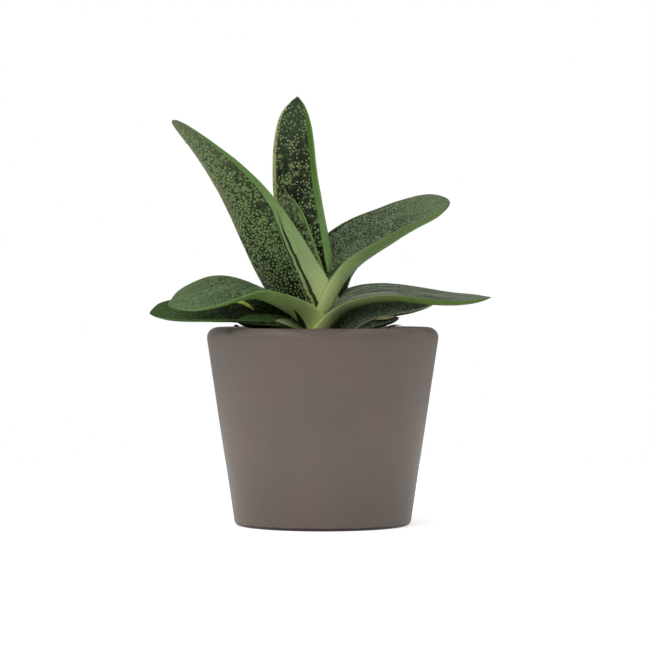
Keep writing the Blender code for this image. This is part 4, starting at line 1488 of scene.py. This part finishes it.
mix = grow("potting_mix_body", profile_mesh("potting_mix_body", mix_profile()), TURNING,
           columns=180, unevenness=0.0, swell_scale=1.0, material=mix_material())
for vert in mix.data.vertices:
    if in_loose_top(vert.co):
        vert.co.z += sum(high * noise.noise(vert.co * scale) for scale, high in LUMPS.items())
face_out(mix)
print("mix top lies at", round(max(v.co.z for v in mix.data.vertices) / MM, 1), "mm")

# %% [markdown]
# ## Crumbs
#
# The top of the mix is loose: bark crumbs, compost and now and then a pale mineral grain. They are
# strewn as the warts are, by a Geometry Nodes tree, but tumbled every way and left flat-shaded, so
# that they look broken. Bump in the material alone would leave the mix a smooth disc.

# %% Crumbs
CRUMB_SPACING, CRUMB_DENSITY, CRUMB_SIZE, CRUMB_SEED = 1.1 * MM, 4.0e5, 0.8 * MM, 3
CRUMB_SHAPE = (0.35, 0.3, 0.25), (1.5, 1.0, 0.7)  # the least and the most stretch
CRUMB_TUMBLE = (-0.6, -0.6, 0.0), (0.6, 0.6, math.tau)
CRUMB_SHAPE_SEED, CRUMB_TUMBLE_SEED, CRUMB_TINT_SEED = 5, 8, 21
CRUMB_DARK, CRUMB_BROWN, CRUMB_GRIT = colour(40, 30, 22), colour(104, 76, 52), colour(168, 158, 138)
CRUMB_DUST = colour(36, 28, 22)


def crumb_tree():
    """Angular crumbs: icospheres squashed, tumbled and left flat-shaded."""
    sizes = {"Spacing": CRUMB_SPACING, "Density": CRUMB_DENSITY, "Size": CRUMB_SIZE, "Seed": CRUMB_SEED}
    tree, given, result = new_geometry_tree("crumbs", sizes)
    points = scatter(tree, given, "crumb_cover")
    shape = random_vector(tree, *CRUMB_SHAPE, CRUMB_SHAPE_SEED)
    tumble = random_vector(tree, *CRUMB_TUMBLE, CRUMB_TUMBLE_SEED)
    strewn = beads(tree, points["Points"], tumble, shape, given["Size"])
    finish_tree(tree, tinted(tree, strewn, CRUMB_TINT_SEED), given, result, smooth=False)
    return tree


def crumb_material():
    """Bark browns, with a few pale mineral grains."""
    material, tree, shader = new_material("potting_mix_crumb", 0.9)
    tint = add_node(tree, "ShaderNodeAttribute", attribute_name="tint").outputs["Fac"]
    grain = cloud(tree, place_in_mm(tree), 1.5, detail=4.0, rough=0.7)
    paint(tree, shader, layered(
        tree, CRUMB_DARK, (tint, CRUMB_BROWN), (ramp(tree, tint, 0.955, 0.965), CRUMB_GRIT),
        (ramp(tree, grain, 0.4, 0.7), CRUMB_DUST)))
    bump(tree, shader, grain, 0.6, 0.3 * MM)
    return material


cover = [float(in_loose_top(vert.co)) for vert in mix.data.vertices]
mix.data.attributes.new("crumb_cover", "FLOAT", "POINT").data.foreach_set("value", cover)
crumbs = grow("potting_mix_crumbs", mix.data.copy(), crumb_tree(), material=crumb_material())
place_piece(mix, "potting_mix", "potting_mix")
place_piece(crumbs, "potting_mix")

# %% [markdown]
# ## Bark chips
#
# Bark breaks into flat layered flakes. A chip could be modelled afresh, but each one starts from its
# CAD solid, so that it lies exactly where the model says. A copy is welded, divided and worn inwards
# with noise.

# %% Bark
BARK_LAYERS = (0.5, 0.9, 3.0)  # the layers lie flat, so the pattern is finest upwards
WELD = 0.01 * MM
CHIP_CUTS = 5
CHIP_WEAR, CHIP_WEAR_SCALE = 0.45 * MM, 450


def bark_material(name, light, dark):
    """Layered dry bark: fine grain along the piece."""
    material, tree, shader = new_material(name, 0.85)
    layers = {"Vector": place_in_mm(tree), "Scale": BARK_LAYERS}
    laid = add_node(tree, "ShaderNodeMapping", layers).outputs[0]
    grain = cloud(tree, laid, 0.8, detail=5.0, rough=0.7, distort=0.4)
    paint(tree, shader, layered(tree, dark, (ramp(tree, grain, 0.35, 0.65), light)))
    bump(tree, shader, grain, 0.8, 0.4 * MM)
    return material


BARK = bark_material("bark_layers", colour(126, 92, 64), colour(58, 40, 28))


def chip_wear(spot):
    """How deep a chip is worn at a place."""
    return CHIP_WEAR * abs(noise.noise(Vector((spot.x, spot.y, 3 * spot.z)) * CHIP_WEAR_SCALE))


def bark_chip(node):
    """A worn flake in the place of a CAD chip, worn inwards only."""
    bm = bmesh.new()
    bm.from_mesh(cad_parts[node].data)
    bmesh.ops.remove_doubles(bm, verts=bm.verts, dist=WELD)
    bmesh.ops.subdivide_edges(bm, edges=bm.edges, cuts=CHIP_CUTS, use_grid_fill=True)
    bm.normal_update()
    worn = [vert.co - vert.normal * chip_wear(vert.co) for vert in bm.verts]
    for vert, spot in zip(bm.verts, worn):
        vert.co = spot
    mesh = bpy.data.meshes.new(node + "_flake")
    bm.to_mesh(mesh)
    bm.free()
    mesh.materials.append(BARK)
    return link_object(node + "_flake", mesh)


for side in ("front", "right", "back", "left", "back_right"):
    node = "bark_chip_" + side
    place_piece(bark_chip(node), "bark", node)

# %% [markdown]
# ## Dry bits
#
# A withered sliver and a husk lie on the old leaves, a twig stands in the mix, and a crumb of peat
# sits on the rim. They are thin leaf shapes, so they are lofted like the leaves, from stations of
# their own. The sliver is yellow-green and browner at its ends, which its leaf map shows.

# %% Dry bits
SLIVER_YELLOW, SLIVER_GREEN = colour(238, 244, 118), colour(214, 228, 100)
SLIVER_BROWN = colour(176, 166, 100)
SCRAP_SWELL = 0.08 * MM


def sliver_material():
    """A withered yellow-green sliver, browner at its ends."""
    material, tree, shader = new_material("withered_sliver_skin", 0.55)
    place = place_in_mm(tree)
    _, along = leaf_map(tree)
    greener = ramp(tree, cloud(tree, place, 0.7, detail=4.0), 0.35, 0.65)
    ends = ramp(tree, apart(tree, along, 0.5), 0.3, 0.5)
    paint(tree, shader, layered(
        tree, SLIVER_YELLOW, (greener, SLIVER_GREEN), (times(tree, ends, 0.4), SLIVER_BROWN)))
    bump(tree, shader, cloud(tree, place, 2.0, detail=4.0), 0.4, 0.2 * MM)
    return material


SCRAP_FINISH = {
    "withered_sliver": ("withered_leaf", sliver_material()),
    "withered_husk": ("bark", bark_material("husk_skin", colour(226, 220, 160), colour(176, 160, 110))),
    "twig": ("bark", bark_material("twig_bark", colour(122, 90, 72), colour(58, 42, 34))),
    "rim_crumb": ("potting_mix", bark_material("rim_crumb_peat", colour(30, 24, 20), colour(14, 11, 9))),
}
for name, scrap in SCRAPS.items():
    slot, finish = SCRAP_FINISH[name]
    bit = leaf_mesh(name + "_fine", scrap, SCRAP_SWELL)
    bit.data.materials.append(finish)
    place_piece(bit, slot, *[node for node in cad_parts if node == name])

# %% [markdown]
# ## Finish
#
# The dressed plant must be as large as the CAD model says, so both boxes are printed.

# %% Sizes and finish
boxes = {"cad": [list(corner) for corner in CAD_BOX], "dressed": [list(corner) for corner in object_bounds()]}
print({name: [[round(v / MM, 1) for v in corner] for corner in box] for name, box in boxes.items()})
